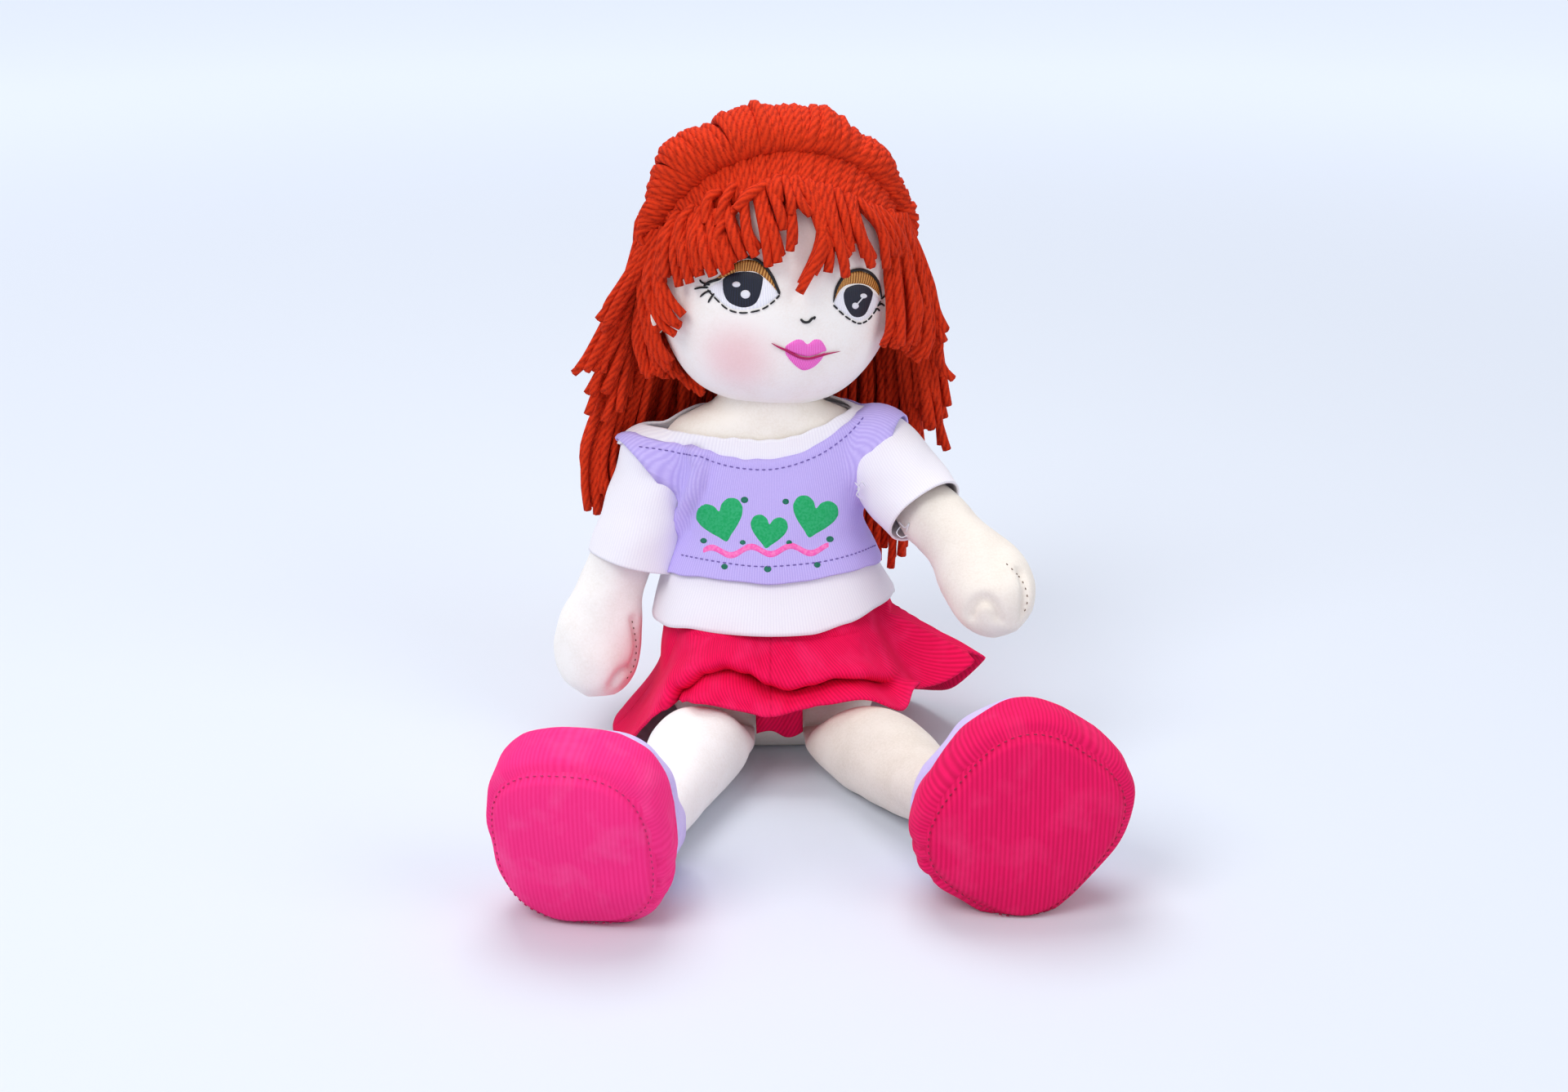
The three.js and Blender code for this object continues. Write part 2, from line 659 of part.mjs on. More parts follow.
const legSkin = (side) => largest(
  legBody(side, 0, -hipSeamThickness / 2, legLength)
    .subtract(below(0))
    .subtract(legBody(side, -skinCloth, hipSeamThickness, legLength + 1).subtract(below(legFloor))),
);
const legFilling = (side) => largest(
  legBody(side, -skinCloth - clearance, hipSeamThickness + 3, legLength - 2 * clearance)
    .subtract(below(legFloor + clearance)),
);

// Shoes: each has a sole panel, a side band and an upper that closes on the ankle
const shoeSections = [
  { at: 0, size: 0.9, square: 2.3 },
  { at: 6, size: 0.97, square: 2.3 },
  { at: 14, size: 1, square: 2.3 },
  { at: bandDepth, size: 0.97, square: 2.3 },
];
const shoeSize = (side, size) => ({
  wide: shoeWidth * shoePose[side].plump * size,
  deep: shoeLength * shoePose[side].plump * size,
});

// How far a leaning oval reaches below its own middle
const underside = (oval, lean, nod) => (
  Math.cos(nod) * Math.hypot((oval.deep / 2) * Math.cos(lean), (oval.wide / 2) * Math.sin(lean))
);
const shoeFrames = {};
[-1, 1].forEach((side) => {
  const { x, y, face, tilt, nod } = shoePose[side];
  const level = vec(Math.sin(radians(face)), Math.cos(radians(face)), 0);
  const along = vec(0, 0, 1).cross(level).normalize();
  const back = level.clone().multiplyScalar(Math.cos(radians(nod))).setZ(Math.sin(radians(nod)));
  const upright = level.clone().multiplyScalar(-Math.sin(radians(nod))).setZ(Math.cos(radians(nod)));
  const toe = upright.multiplyScalar(Math.cos(radians(tilt))).addScaledVector(along, -Math.sin(radians(tilt)));
  const lowest = shoeSections.map(({ at, size }) => (
    underside(shoeSize(side, size), radians(tilt), radians(nod)) - at * back.z
  ));
  const across = toe.clone().cross(back);
  shoeFrames[side] = new THREE.Matrix4()
    .makeBasis(across, toe, back)
    .setPosition(vec(x, y, Math.max(...lowest) - restingFlat));
});
function shoeStations(side) {
  const leg = legStations(side);
  const ankleAt = legLength - ankleOverlap;
  const ankle = vec(between(leg, 'x', ankleAt), between(leg, 'y', ankleAt), ankleAt);
  ankle.applyMatrix4(legFrames[side]).applyMatrix4(shoeFrames[side].clone().invert());
  const closing = (at, size, part) => ({
    at,
    x: ankle.x * part,
    y: ankle.y * part,
    wide: mix(shoeSize(side, size).wide, ankleWidth + 8, part),
    deep: mix(shoeSize(side, size).deep, ankleWidth + 6, part),
    square: mix(2.3, 2, part),
  });
  return [
    ...shoeSections.map(({ at, size, square }) => ({ at, x: 0, y: 0, square, ...shoeSize(side, size) })),
    closing(mix(bandDepth, shoeDepth, 0.5), 0.9, 0.42),
    closing(shoeDepth, 0.8, 1),
  ];
}
const shoeColumns = 18;
const bandLevels = [0, 6, 14, 22, bandDepth];
const upperLevels = steps(bandDepth, shoeDepth, 4).slice(1);
const fillingLevels = [...bandLevels, ...upperLevels.slice(0, 3), shoeDepth - ankleOverlap];
function shoe(side) {
  const frame = shoeFrames[side];
  const surface = oval(shoeStations(side));
  const outside = (extra) => (u, at) => grow(surface, extra)(u, at);
  const tube = (levels) => {
    const rows = levels.length - 1;
    const layer = (extra) => (u, v) => outside(extra)(u, levels[Math.round(v * rows)]);
    return sheet(layer(0), layer(-cordCloth), shoeColumns, rows, frame);
  };
  const dome = (extra) => (u, v) => {
    const rim = surface(u, 0);
    return vec(rim.x * v, rim.y * v, extra - clearance - soleCrown * (1 - v * v));
  };
  const ankle = legBody(side, clearance, thighAt, legLength + 2 * clearance);
  const stuffing = stuffed(outside(-cordCloth - clearance), fillingLevels, shoeColumns, frame);
  return {
    sole: sheet(dome(-cordCloth), dome(0), shoeColumns, 2, frame, true, true).subtract(below(0)),
    band: tube(bandLevels).subtract(below(0)),
    upper: largest(tube([bandDepth + clearance, ...upperLevels]).subtract(below(0)).subtract(ankle)),
    filling: largest(stuffing.subtract(below(cordCloth + clearance)).subtract(ankle)),
  };
}

// Skirt: a waist under the T-shirt, a hem that rides over both thighs and flares at the left side
const thighTop = thighWidth - restingFlat + 2;
const hemStops = [
  [0.02, vec(90, 8, 18)],
  [0.1, vec(66, 36, 5)],
  [0.18, vec(36, 51, 3)],
  [0.25, vec(0, 54, 3)],
  [0.32, vec(-36, 50, 3)],
  [0.4, vec(-64, 32, 3)],
  [0.47, vec(-79, 6, 3)],
  [0.52, vec(-78, -17, 3)],
  [0.57, vec(-68, -44, 14)],
  [0.62, vec(-56, -66, 36)],
  [0.67, vec(-38, -76, thighTop + 2)],
  [0.71, vec(-18, -75, thighTop - 3)],
  [0.75, vec(-1, -72, thighTop - 7)],
  [0.8, vec(22, -74, thighTop)],
  [0.85, vec(46, -73, thighTop + 3)],
  [0.9, vec(68, -60, 37)],
  [0.94, vec(82, -36, 35)],
  [0.975, vec(106, -12, 45)],
];
const hemCurve = new THREE.CatmullRomCurve3(hemStops.map(([, p]) => p), true);
function hemPoint(u) {
  const wrapped = ((u % 1) + 1) % 1;
  const count = hemStops.length;
  for (let k = 0; k < count; k += 1) {
    const from = hemStops[k][0];
    const to = k + 1 < count ? hemStops[k + 1][0] : hemStops[0][0] + 1;
    const place = wrapped < hemStops[0][0] ? wrapped + 1 : wrapped;
    if (place >= from && place <= to) return hemCurve.getPoint(((k + (place - from) / (to - from)) / count) % 1);
  }
  return hemStops[0][1].clone();
}
const skirtSpread = 1.8;
const skirtBreak = 2;
const skirtWaist = grow(torsoSurface, elasticThickness + 5 * clearance);
function skirtSurface(u, v) {
  const top = skirtWaist(u, skirtTop).applyMatrix4(torsoFrame);
  const hem = hemPoint(u);
  const spread = v ** skirtSpread;
  const point = vec(mix(top.x, hem.x, spread), mix(top.y, hem.y, spread), mix(top.z, hem.z, v));
  const height = Math.max(point.z, shirtHemHeight);
  const cover = grow(torsoFlats, shirtLift(height))(u, height).applyMatrix4(torsoFrame);
  const room = Math.hypot(cover.x, cover.y) - cordCloth - facetSlack - clearance;
  const limit = room + skirtBreak * Math.max(shirtHemHeight - clearance - point.z, 0);
  const reach = Math.hypot(point.x, point.y);
  return reach > limit ? vec((point.x * limit) / reach, (point.y * limit) / reach, point.z) : point;
}
function skirtPanel(start) {
  const sideGap = 0.0008;
  const across = (u) => mix(start + sideGap, start + 0.5 - sideGap, u);
  const base = (u, v) => skirtSurface(across(u), v);
  const layer = (extra) => (u, v) => {
    const around = base(u + 0.004, v).sub(base(u - 0.004, v));
    const downward = base(u, Math.min(v + 0.01, 1)).sub(base(u, Math.max(v - 0.01, 0)));
    return base(u, v).addScaledVector(downward.cross(around).normalize(), extra);
  };
  const panel = sheet(layer(cordCloth), layer(0), 26, 6, null, false);
  const legRoom = (side) => legBody(side, 2 * clearance, hipSeamThickness - 1, calfAt);
  return largest(panel
    .subtract(below(clearance))
    .subtract(legRoom(-1))
    .subtract(legRoom(1))
    .subtract(torsoBody(clearance)));
}
const elasticLayer = (extra) => (u, v) => grow(torsoFlats, clearance + extra)(u, skirtTop - elasticWidth * (1 - v));
const waistElastic = sheet(elasticLayer(elasticThickness), elasticLayer(0), torsoColumns, 1, torsoFrame);

// Scene: one group for each body, with its pieces in that body's own frame
const doll = new THREE.Group();
doll.updateMatrixWorld(true);
function bodyGroup(frame) {
  const group = new THREE.Group();
  frame.decompose(group.position, group.quaternion, group.scale);
  doll.add(group);
  group.updateMatrixWorld(true);
  return group;
}
function place(group, name, body, material) {
  const mesh = body.getMesh();
  const geometry = new THREE.BufferGeometry();
  const points = [];
  for (let k = 0; k < mesh.numVert; k += 1) {
    points.push(...mesh.vertProperties.slice(k * mesh.numProp, k * mesh.numProp + 3));
  }
  geometry.setAttribute('position', new THREE.Float32BufferAttribute(points, 3));
  geometry.setIndex(Array.from(mesh.triVerts));
  geometry.applyMatrix4(group.matrixWorld.clone().invert());
  const piece = new THREE.Mesh(geometry, material.clone());
  piece.name = name;
  group.add(piece);
}
const finish = (color, roughness) => new THREE.MeshStandardMaterial({ color, roughness, metalness: 0 });
const creamVelour = finish('#efe3d2', 0.95);
const fibre = finish('#f7f6f2', 1);
const whiteJersey = finish('#f4eef6', 0.9);
const lavenderJersey = finish('#b9a3e3', 0.9);
const lavenderVelour = finish('#c3b4ea', 0.95);
const crimsonCord = finish('#e0125a', 0.85);
const pinkCord = finish('#e5177a', 0.85);
const elasticTape = finish('#f2f2f2', 0.8);
const redYarn = finish('#c93a10', 0.95);

const torso = bodyGroup(torsoFrame);
place(torso, 'torso_skin', torsoSkin, creamVelour);
place(torso, 'torso_filling', torsoFilling, fibre);
place(torso, 'shirt_body', shirtBody, whiteJersey);
place(torso, 'shirt_neck_band', neckBand, whiteJersey);
place(torso, 'vest', vest, lavenderJersey);
place(torso, 'skirt_front', skirtPanel(0.5), crimsonCord);
place(torso, 'skirt_back', skirtPanel(0), crimsonCord);
place(torso, 'waist_elastic', waistElastic, elasticTape);

const head = bodyGroup(headFrame);
place(head, 'head_skin', headSkin, creamVelour);
place(head, 'head_filling', headFilling, fibre);
place(head, 'left_ear', ear(1), creamVelour);
place(head, 'right_ear', ear(-1), creamVelour);
place(head, 'hair_cap', cap, redYarn);
place(head, 'hair_band', hairBand, redYarn);
place(head, 'crown_roll', roll, redYarn);
place(head, 'fringe', fringe, redYarn);
const rightLock = lock(rightLockStations, 10).subtract(hairReach);
const leftLock = lock(leftLockStations, 10).subtract(hairReach);
place(head, 'right_side_hair', largest(rightLock), redYarn);
place(head, 'left_side_hair', largest(leftLock), redYarn);
place(head, 'back_hair', largest(lock(backHairStations, 16).subtract(hairReach)), redYarn);

[['left', 1], ['right', -1]].forEach(([name, side]) => {
  const arm = bodyGroup(armFrames[side]);
  place(arm, `${name}_arm_skin`, armSkin(side), creamVelour);
  place(arm, `${name}_arm_filling`, armFilling(side), fibre);
  place(arm, `${name}_sleeve`, sleeve(side), whiteJersey);
  const leg = bodyGroup(legFrames[side]);
  place(leg, `${name}_leg_skin`, legSkin(side), creamVelour);
  place(leg, `${name}_leg_filling`, legFilling(side), fibre);
  const parts = shoe(side);
  place(leg, `${name}_shoe_sole`, parts.sole, pinkCord);
  place(leg, `${name}_shoe_band`, parts.band, pinkCord);
  place(leg, `${name}_shoe_upper`, parts.upper, lavenderVelour);
  place(leg, `${name}_foot_filling`, parts.filling, fibre);
});

export default doll;
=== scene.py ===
# %% [markdown]
# # A seated rag doll, sewn, stuffed and dressed
#
# The doll is a real soft toy: velour skin stuffed with polyester fibre, yarn hair, a jersey top, a short
# needlecord skirt and padded shoes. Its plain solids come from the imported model, which stays as the frame.
# Each cell below makes one piece or one finish. All sizes are in millimetres until a mesh is finished.

# %% The frame
import math
import random

import bmesh
import bpy
from mathutils import Matrix, Vector, noise
from mathutils.bvhtree import BVHTree


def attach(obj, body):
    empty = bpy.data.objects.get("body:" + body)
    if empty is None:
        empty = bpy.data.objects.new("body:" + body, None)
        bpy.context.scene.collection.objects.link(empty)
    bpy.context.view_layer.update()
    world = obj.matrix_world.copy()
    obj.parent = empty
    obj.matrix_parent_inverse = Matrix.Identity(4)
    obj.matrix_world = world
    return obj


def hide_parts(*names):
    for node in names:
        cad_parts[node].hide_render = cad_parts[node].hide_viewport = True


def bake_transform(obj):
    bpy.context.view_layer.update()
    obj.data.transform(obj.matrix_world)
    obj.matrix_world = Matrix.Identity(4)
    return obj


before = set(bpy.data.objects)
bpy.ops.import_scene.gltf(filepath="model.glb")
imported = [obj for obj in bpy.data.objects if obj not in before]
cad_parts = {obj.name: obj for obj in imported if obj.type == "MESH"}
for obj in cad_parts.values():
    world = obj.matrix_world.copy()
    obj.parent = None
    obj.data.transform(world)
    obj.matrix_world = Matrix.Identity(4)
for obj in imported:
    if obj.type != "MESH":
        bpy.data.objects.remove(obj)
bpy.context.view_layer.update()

random.seed(7)

# %% [markdown]
# ## The camera
#
# A camera is placed by three things: where it stands, where it looks and its lens. The horizon and the sizes of
# the shoes and the head in the picture fix all three here. The same numbers give two helpers. One turns a pixel
# of the picture into a line of sight, and the other tells which pixel a point falls on.

# %% Camera and lines of sight
MM = 0.001
PICTURE = (1920, 1337)
FOCAL_PIXELS = 2667
LOOK_DOWN = math.radians(20)
EYE = Vector((5, -1003, 462))

lens = bpy.data.cameras.new("studio_camera")
lens.sensor_width = 36
lens.lens = lens.sensor_width * FOCAL_PIXELS / PICTURE[0]
camera = bpy.data.objects.new("studio_camera", lens)
camera.location = EYE * MM
camera.rotation_euler = (math.pi / 2 - LOOK_DOWN, 0, 0)
bpy.context.scene.collection.objects.link(camera)
bpy.context.scene.camera = camera
bpy.context.scene.view_settings.view_transform = "Standard"


def sight(px, py):
    """Direction from the camera through one pixel of the picture."""
    across = (px - PICTURE[0] / 2) / FOCAL_PIXELS
    up = (PICTURE[1] / 2 - py) / FOCAL_PIXELS
    ahead = math.cos(LOOK_DOWN) + up * math.sin(LOOK_DOWN)
    return Vector((across, ahead, up * math.cos(LOOK_DOWN) - math.sin(LOOK_DOWN))).normalized()


def pixel_of(point):
    """Pixel of the picture that a point in millimetres falls on."""
    away = point - EYE
    depth = away.y * math.cos(LOOK_DOWN) - away.z * math.sin(LOOK_DOWN)
    up = away.y * math.sin(LOOK_DOWN) + away.z * math.cos(LOOK_DOWN)
    return (PICTURE[0] / 2 + FOCAL_PIXELS * away.x / depth, PICTURE[1] / 2 - FOCAL_PIXELS * up / depth)


print("lens", round(lens.lens, 2), "mm, seat at pixel", [round(c) for c in pixel_of(Vector((0, 0, 0)))])

# %% [markdown]
# ## Colours and shader nodes
#
# A colour picked from cloth is an sRGB value, but shaders reckon in linear light. One function turns the hex code
# into linear numbers, so every colour can be written as a dyer's chart would give it. A second one adds a shader
# node with its settings and its links in one line, which keeps the node trees readable as text.

# %% Colours from sRGB to linear, and one helper for nodes
def linear(code):
    """An sRGB hex colour as the linear values that shaders work in."""
    parts = [int(code[k:k + 2], 16) / 255 for k in (1, 3, 5)]
    return [c / 12.92 if c <= 0.04045 else ((c + 0.055) / 1.055) ** 2.4 for c in parts] + [1.0]


def add_node(tree, kind, inputs=None, **settings):
    """Adds one shader node, with its settings, and its inputs as values or as links."""
    node = tree.nodes.new("ShaderNode" + kind)
    for key, value in settings.items():
        setattr(node, key, value)
    for key, value in (inputs or {}).items():
        if isinstance(value, bpy.types.NodeSocket):
            tree.links.new(value, node.inputs[key])
        else:
            node.inputs[key].default_value = value
    return node


def new_finish(name):
    """An empty material and its node tree, with the shader and output in place."""
    finish = bpy.data.materials.new(name)
    finish.use_nodes = True
    tree = finish.node_tree
    tree.nodes.clear()
    shader = add_node(tree, "BsdfPrincipled")
    add_node(tree, "OutputMaterial", {"Surface": shader.outputs[0]})
    return finish, tree, shader


def set_surface(tree, shader, colour, height, strength, deep, values):
    """Gives a shader its colour and its relief, deep in mm, and sets the rest of its sockets by name."""
    bump = add_node(tree, "Bump", {"Height": height, "Strength": strength, "Distance": deep * MM})
    tree.links.new(colour, shader.inputs["Base Color"])
    tree.links.new(bump.outputs[0], shader.inputs["Normal"])
    for socket, value in values.items():
        shader.inputs[socket].default_value = value


print("middle grey #808080 is", round(linear("#808080")[0], 3), "in linear light")

# %% [markdown]
# ## Floor and light
#
# The doll sits on a pale studio floor. One large floor fills the whole picture, so that no wall hides the doll from
# any side. The far floor glows a little, but only for rays that show the backdrop, so it lights nothing.
# Three big soft lamps and an even sky give a plain level, at which a colour looks as it is written.

# %% Floor, lamps and sky
def backdrop_rays(tree):
    """1 for the rays that show the backdrop: from the camera, off a gloss or through glass. 0 for its light."""
    path = add_node(tree, "LightPath").outputs
    either = add_node(tree, "Math", {0: path["Is Camera Ray"], 1: path["Is Glossy Ray"]}, operation="ADD")
    return add_node(
        tree, "Math", {0: either.outputs[0], 1: path["Is Transmission Ray"]}, operation="ADD", use_clamp=True
    ).outputs[0]


studio_paint, tree, shader = new_finish("matt_studio_paint")
shader.inputs["Base Color"].default_value = linear("#DAE0EA")
shader.inputs["Roughness"].default_value = 0.9
shader.inputs["Specular IOR Level"].default_value = 0.1
seen = backdrop_rays(tree)
spot = add_node(tree, "TexCoord").outputs["Object"]
away = add_node(tree, "VectorMath", {0: spot}, operation="LENGTH")
level = add_node(
    tree, "MapRange",
    {"Value": away.outputs["Value"], "From Min": 0.4, "From Max": 2.6, "To Min": 0.0, "To Max": 0.55},
    interpolation_type="SMOOTHSTEP",
)
glow = add_node(tree, "Math", {0: seen, 1: level.outputs[0]}, operation="MULTIPLY")
tree.links.new(glow.outputs[0], shader.inputs["Emission Strength"])
shader.inputs["Emission Color"].default_value = linear("#E6EFFF")

bm = bmesh.new()
bmesh.ops.create_grid(bm, x_segments=2, y_segments=2, size=30)
floor_mesh = bpy.data.meshes.new("studio_floor")
bm.to_mesh(floor_mesh)
bm.free()
floor_mesh.materials.append(studio_paint)
studio_floor = bpy.data.objects.new("studio_floor", floor_mesh)
bpy.context.scene.collection.objects.link(studio_floor)


def soft_lamp(name, place, size, power):
    """A square lamp that shines at the doll's chest."""
    lamp = bpy.data.lights.new(name, "AREA")
    lamp.size = size
    lamp.energy = power
    holder = bpy.data.objects.new(name, lamp)
    holder.location = place
    aim = Vector((0, 0, 0.13)) - Vector(place)
    holder.rotation_euler = aim.to_track_quat("-Z", "Y").to_euler()
    bpy.context.scene.collection.objects.link(holder)


soft_lamp("top_lamp", (-0.15, 0.45, 1.7), 1.0, 15)
soft_lamp("window_lamp", (-1.1, -1.3, 1.9), 1.2, 25)
soft_lamp("fill_lamp", (1.7, -1.2, 1.3), 1.4, 12)
sky = bpy.data.worlds.new("even_sky")
sky.use_nodes = True
light_sky = sky.node_tree.nodes["Background"]
light_sky.inputs["Color"].default_value = linear("#F4F7FF")
light_sky.inputs["Strength"].default_value = 0.5
seen_sky = add_node(sky.node_tree, "Background", {"Color": linear("#E8F0FD"), "Strength": 1.0})
seen = backdrop_rays(sky.node_tree)
both = add_node(sky.node_tree, "MixShader", {0: seen, 1: light_sky.outputs[0], 2: seen_sky.outputs[0]})
sky.node_tree.links.new(both.outputs[0], sky.node_tree.nodes["World Output"].inputs["Surface"])
bpy.context.scene.world = sky

# %% [markdown]
# ## Finishes, and first the velour of the skin
#
# Every surface of the doll is textile, so no surface is glossy. What tells them apart is the pile, the rib, the
# knit or the twist, and each is drawn at its real size. Sheen gives the pale bloom that pile fabrics have at
# their edges.
#
# Velour is a knit whose loops are sheared to a short dense pile, so it is soft, matt and slightly mottled where a
# hand has brushed it. Displacing real fibres would cost millions of faces. Two noises on Object coordinates, one
# as fine as the pile and one as wide as a brushed patch, give the same look on any form without a UV map. The
# rubbed-on cheek colour is part of the same finish, as soft patches round a point.

# %% Velour
PILE = 1.1
NAP = 14


def velour(name, light, shade, blushes=()):
    """Knitted velour. PILE is drawn 1.1 mm wide, coarser than the real 0.3 mm, so that it shows."""
    finish, tree, shader = new_finish(name)
    place = add_node(tree, "TexCoord").outputs["Object"]
    pile = add_node(tree, "TexNoise", {"Vector": place, "Scale": 1 / (PILE * MM), "Detail": 3.0})
    nap = add_node(tree, "TexNoise", {"Vector": place, "Scale": 1 / (NAP * MM), "Detail": 3.0})
    mottle = add_node(tree, "Math", {0: pile.outputs["Fac"], 1: nap.outputs["Fac"]}, operation="ADD")
    amount = add_node(tree, "MapRange", {"Value": mottle.outputs[0], "From Min": 0.45, "From Max": 1.15})
    colour = add_node(
        tree, "Mix", {0: amount.outputs[0], 6: linear(shade), 7: linear(light)}, data_type="RGBA"
    ).outputs[2]
    for centre, reach, strength, tint in blushes:
        away = add_node(tree, "VectorMath", {0: place, 1: centre * MM}, operation="DISTANCE")
        fade = add_node(
            tree, "MapRange",
            {"Value": away.outputs["Value"], "From Min": reach * MM, "From Max": 0.0, "To Max": strength},
            interpolation_type="SMOOTHERSTEP",
        )
        colour = add_node(
            tree, "Mix", {0: fade.outputs[0], 6: colour, 7: linear(tint)}, data_type="RGBA"
        ).outputs[2]
    set_surface(tree, shader, colour, pile.outputs["Fac"], 0.35, 0.3, {
        "Roughness": 0.95, "Specular IOR Level": 0.15, "Sheen Weight": 0.15, "Sheen Roughness": 0.5,
    })
    return finish


print("velour pile", PILE, "mm, brushed patches", NAP, "mm")

# %% [markdown]
# ## Cotton jersey
#
# Jersey is a plain weft knit: its stitches stand in fine columns, and the yarn's thick and thin places cloud it.
# An image of a knit would stretch and repeat. A wave texture over the piece's own UV map, which is laid out in
# millimetres like the cut cloth, keeps each column at its real width wherever the cloth bends.

# %% Jersey
KNIT_COLUMN = 1.3
BANDS = {"wave_type": "BANDS", "bands_direction": "X"}


def wave_scale(spacing):
    """The scale at which a wave texture repeats every `spacing`; at a scale of 1 it repeats every pi / 10."""
    return math.pi / 10 / spacing


def jersey(name, light, shade, depth=0.3):
    finish, tree, shader = new_finish(name)
    place = add_node(tree, "UVMap").outputs[0]
    column = add_node(
        tree, "TexWave", {"Vector": place, "Scale": wave_scale(KNIT_COLUMN), "Distortion": 0.0}, **BANDS
    )
    slub = add_node(tree, "TexNoise", {"Vector": place, "Scale": 0.9, "Detail": 4.0})
    # The colour darkens between the knit columns as painted shade, and the slub clouds it with the yarn's own thick
    # and thin places.
    knit = add_node(tree, "Math", {0: column.outputs["Fac"], 1: slub.outputs["Fac"]}, operation="MULTIPLY")
    amount = add_node(tree, "MapRange", {"Value": knit.outputs[0], "From Min": 0.0, "From Max": 0.5})
    colour = add_node(
        tree, "Mix", {0: amount.outputs[0], 6: linear(shade), 7: linear(light)}, data_type="RGBA"
    ).outputs[2]
    set_surface(tree, shader, colour, knit.outputs[0], depth, 0.2, {
        "Roughness": 0.9, "Specular IOR Level": 0.2, "Sheen Weight": 0.08,
    })
    return finish


print("columns of", KNIT_COLUMN, "mm need a wave scale of", round(wave_scale(KNIT_COLUMN), 3))

# %% [markdown]
# ## Needlecord
#
# Needlecord is woven with extra threads that are cut into fine velvety ribs, the wales, with bare ground between
# them. Here a wale is 1.75 mm wide. Modelling each rib would need thousands of faces, and at this size only their
# shading shows. So a wave gives ridge and groove, a noise stretched along the rib gives the streaks of brushed
# pile, and a wide soft noise gives the patches where handling has worn it pale.

# %% Needlecord
def needlecord(name, ridge, groove, wale, worn):
    finish, tree, shader = new_finish(name)
    place = add_node(tree, "UVMap").outputs[0]
    rib = add_node(tree, "TexWave", {"Vector": place, "Scale": wave_scale(wale), "Distortion": 0.0}, **BANDS)
    streak_place = add_node(tree, "Mapping", {"Vector": place, "Scale": (1.0, 0.08, 1.0)})
    streak = add_node(tree, "TexNoise", {"Vector": streak_place.outputs[0], "Scale": 0.7, "Detail": 3.0})
    patch = add_node(tree, "TexNoise", {"Vector": place, "Scale": 0.05, "Detail": 4.0})
    # The colour darkens from ridge to groove across each wale as painted shade; the streaks along the rib and the
    # worn patches are the cloth's own.
    lit = add_node(
        tree, "Math", {0: streak.outputs["Fac"], 1: rib.outputs["Fac"], 2: 0.15}, operation="MULTIPLY_ADD"
    )
    amount = add_node(tree, "MapRange", {"Value": lit.outputs[0], "From Min": 0.05, "From Max": 0.62})
    colour = add_node(
        tree, "Mix", {0: amount.outputs[0], 6: linear(groove), 7: linear(ridge)}, data_type="RGBA"
    ).outputs[2]
    faded = add_node(
        tree, "MapRange", {"Value": patch.outputs["Fac"], "From Min": 0.5, "From Max": 0.8, "To Max": 0.5}
    )
    colour = add_node(tree, "Mix", {0: faded.outputs[0], 6: colour, 7: linear(worn)}, data_type="RGBA").outputs[2]
    set_surface(tree, shader, colour, rib.outputs["Fac"], 0.35, 0.35, {
        "Roughness": 0.85, "Specular IOR Level": 0.2, "Sheen Weight": 0.15, "Sheen Tint": linear(ridge),
    })
    return finish


# %% [markdown]
# ## Acrylic yarn
#
# Hair yarn is four plies twisted together, fuzzy and matt, and unevenly dyed. Four thin helices for each strand
# would be truer, but there are hundreds of strands. So a strand is one tube whose UV map counts the plies round
# it and is sheared along it by the twist. A plain wave on that map then winds round the strand like the plies.

# %% Yarn
def acrylic_yarn(name, ridge, groove):
    """The UV map of a strand holds the ply count round it, already sheared along it by the twist."""
    finish, tree, shader = new_finish(name)
    place = add_node(tree, "UVMap").outputs[0]
    ply = add_node(tree, "TexWave", {"Vector": place, "Scale": wave_scale(1.0), "Distortion": 0.0}, **BANDS)
    spot = add_node(tree, "TexCoord").outputs["Object"]
    fuzz = add_node(tree, "TexNoise", {"Vector": spot, "Scale": 1 / (1.2 * MM), "Detail": 3.0})
    dye = add_node(tree, "TexNoise", {"Vector": spot, "Scale": 1 / (16 * MM), "Detail": 2.0})
    # The colour darkens in the grooves between the plies as painted shade; the fuzz and the dye clouds are the
    # yarn's own.
    mixed = add_node(
        tree, "Math", {0: ply.outputs["Fac"], 1: 0.7, 2: fuzz.outputs["Fac"]}, operation="MULTIPLY_ADD"
    )
    tone = add_node(
        tree, "Math", {0: dye.outputs["Fac"], 1: 0.5, 2: mixed.outputs[0]}, operation="MULTIPLY_ADD"
    )
    amount = add_node(tree, "MapRange", {"Value": tone.outputs[0], "From Min": 0.45, "From Max": 1.25})
    colour = add_node(
        tree, "Mix", {0: amount.outputs[0], 6: linear(groove), 7: linear(ridge)}, data_type="RGBA"
    ).outputs[2]
    set_surface(tree, shader, colour, mixed.outputs[0], 0.8, 0.6, {
        "Roughness": 0.9, "Specular IOR Level": 0.2, "Sheen Weight": 0.1, "Sheen Tint": linear(ridge),
    })
    return finish


# %% [markdown]
# ## Embroidery thread
#
# The face is worked in rayon, a smooth thread with a soft gleam, laid side by side in satin stitch. It is the one
# finish here that is a little less matt. The gold of the eyelids has a metal foil wound in, so it is part metallic.

# %% Thread
THREAD = 0.7


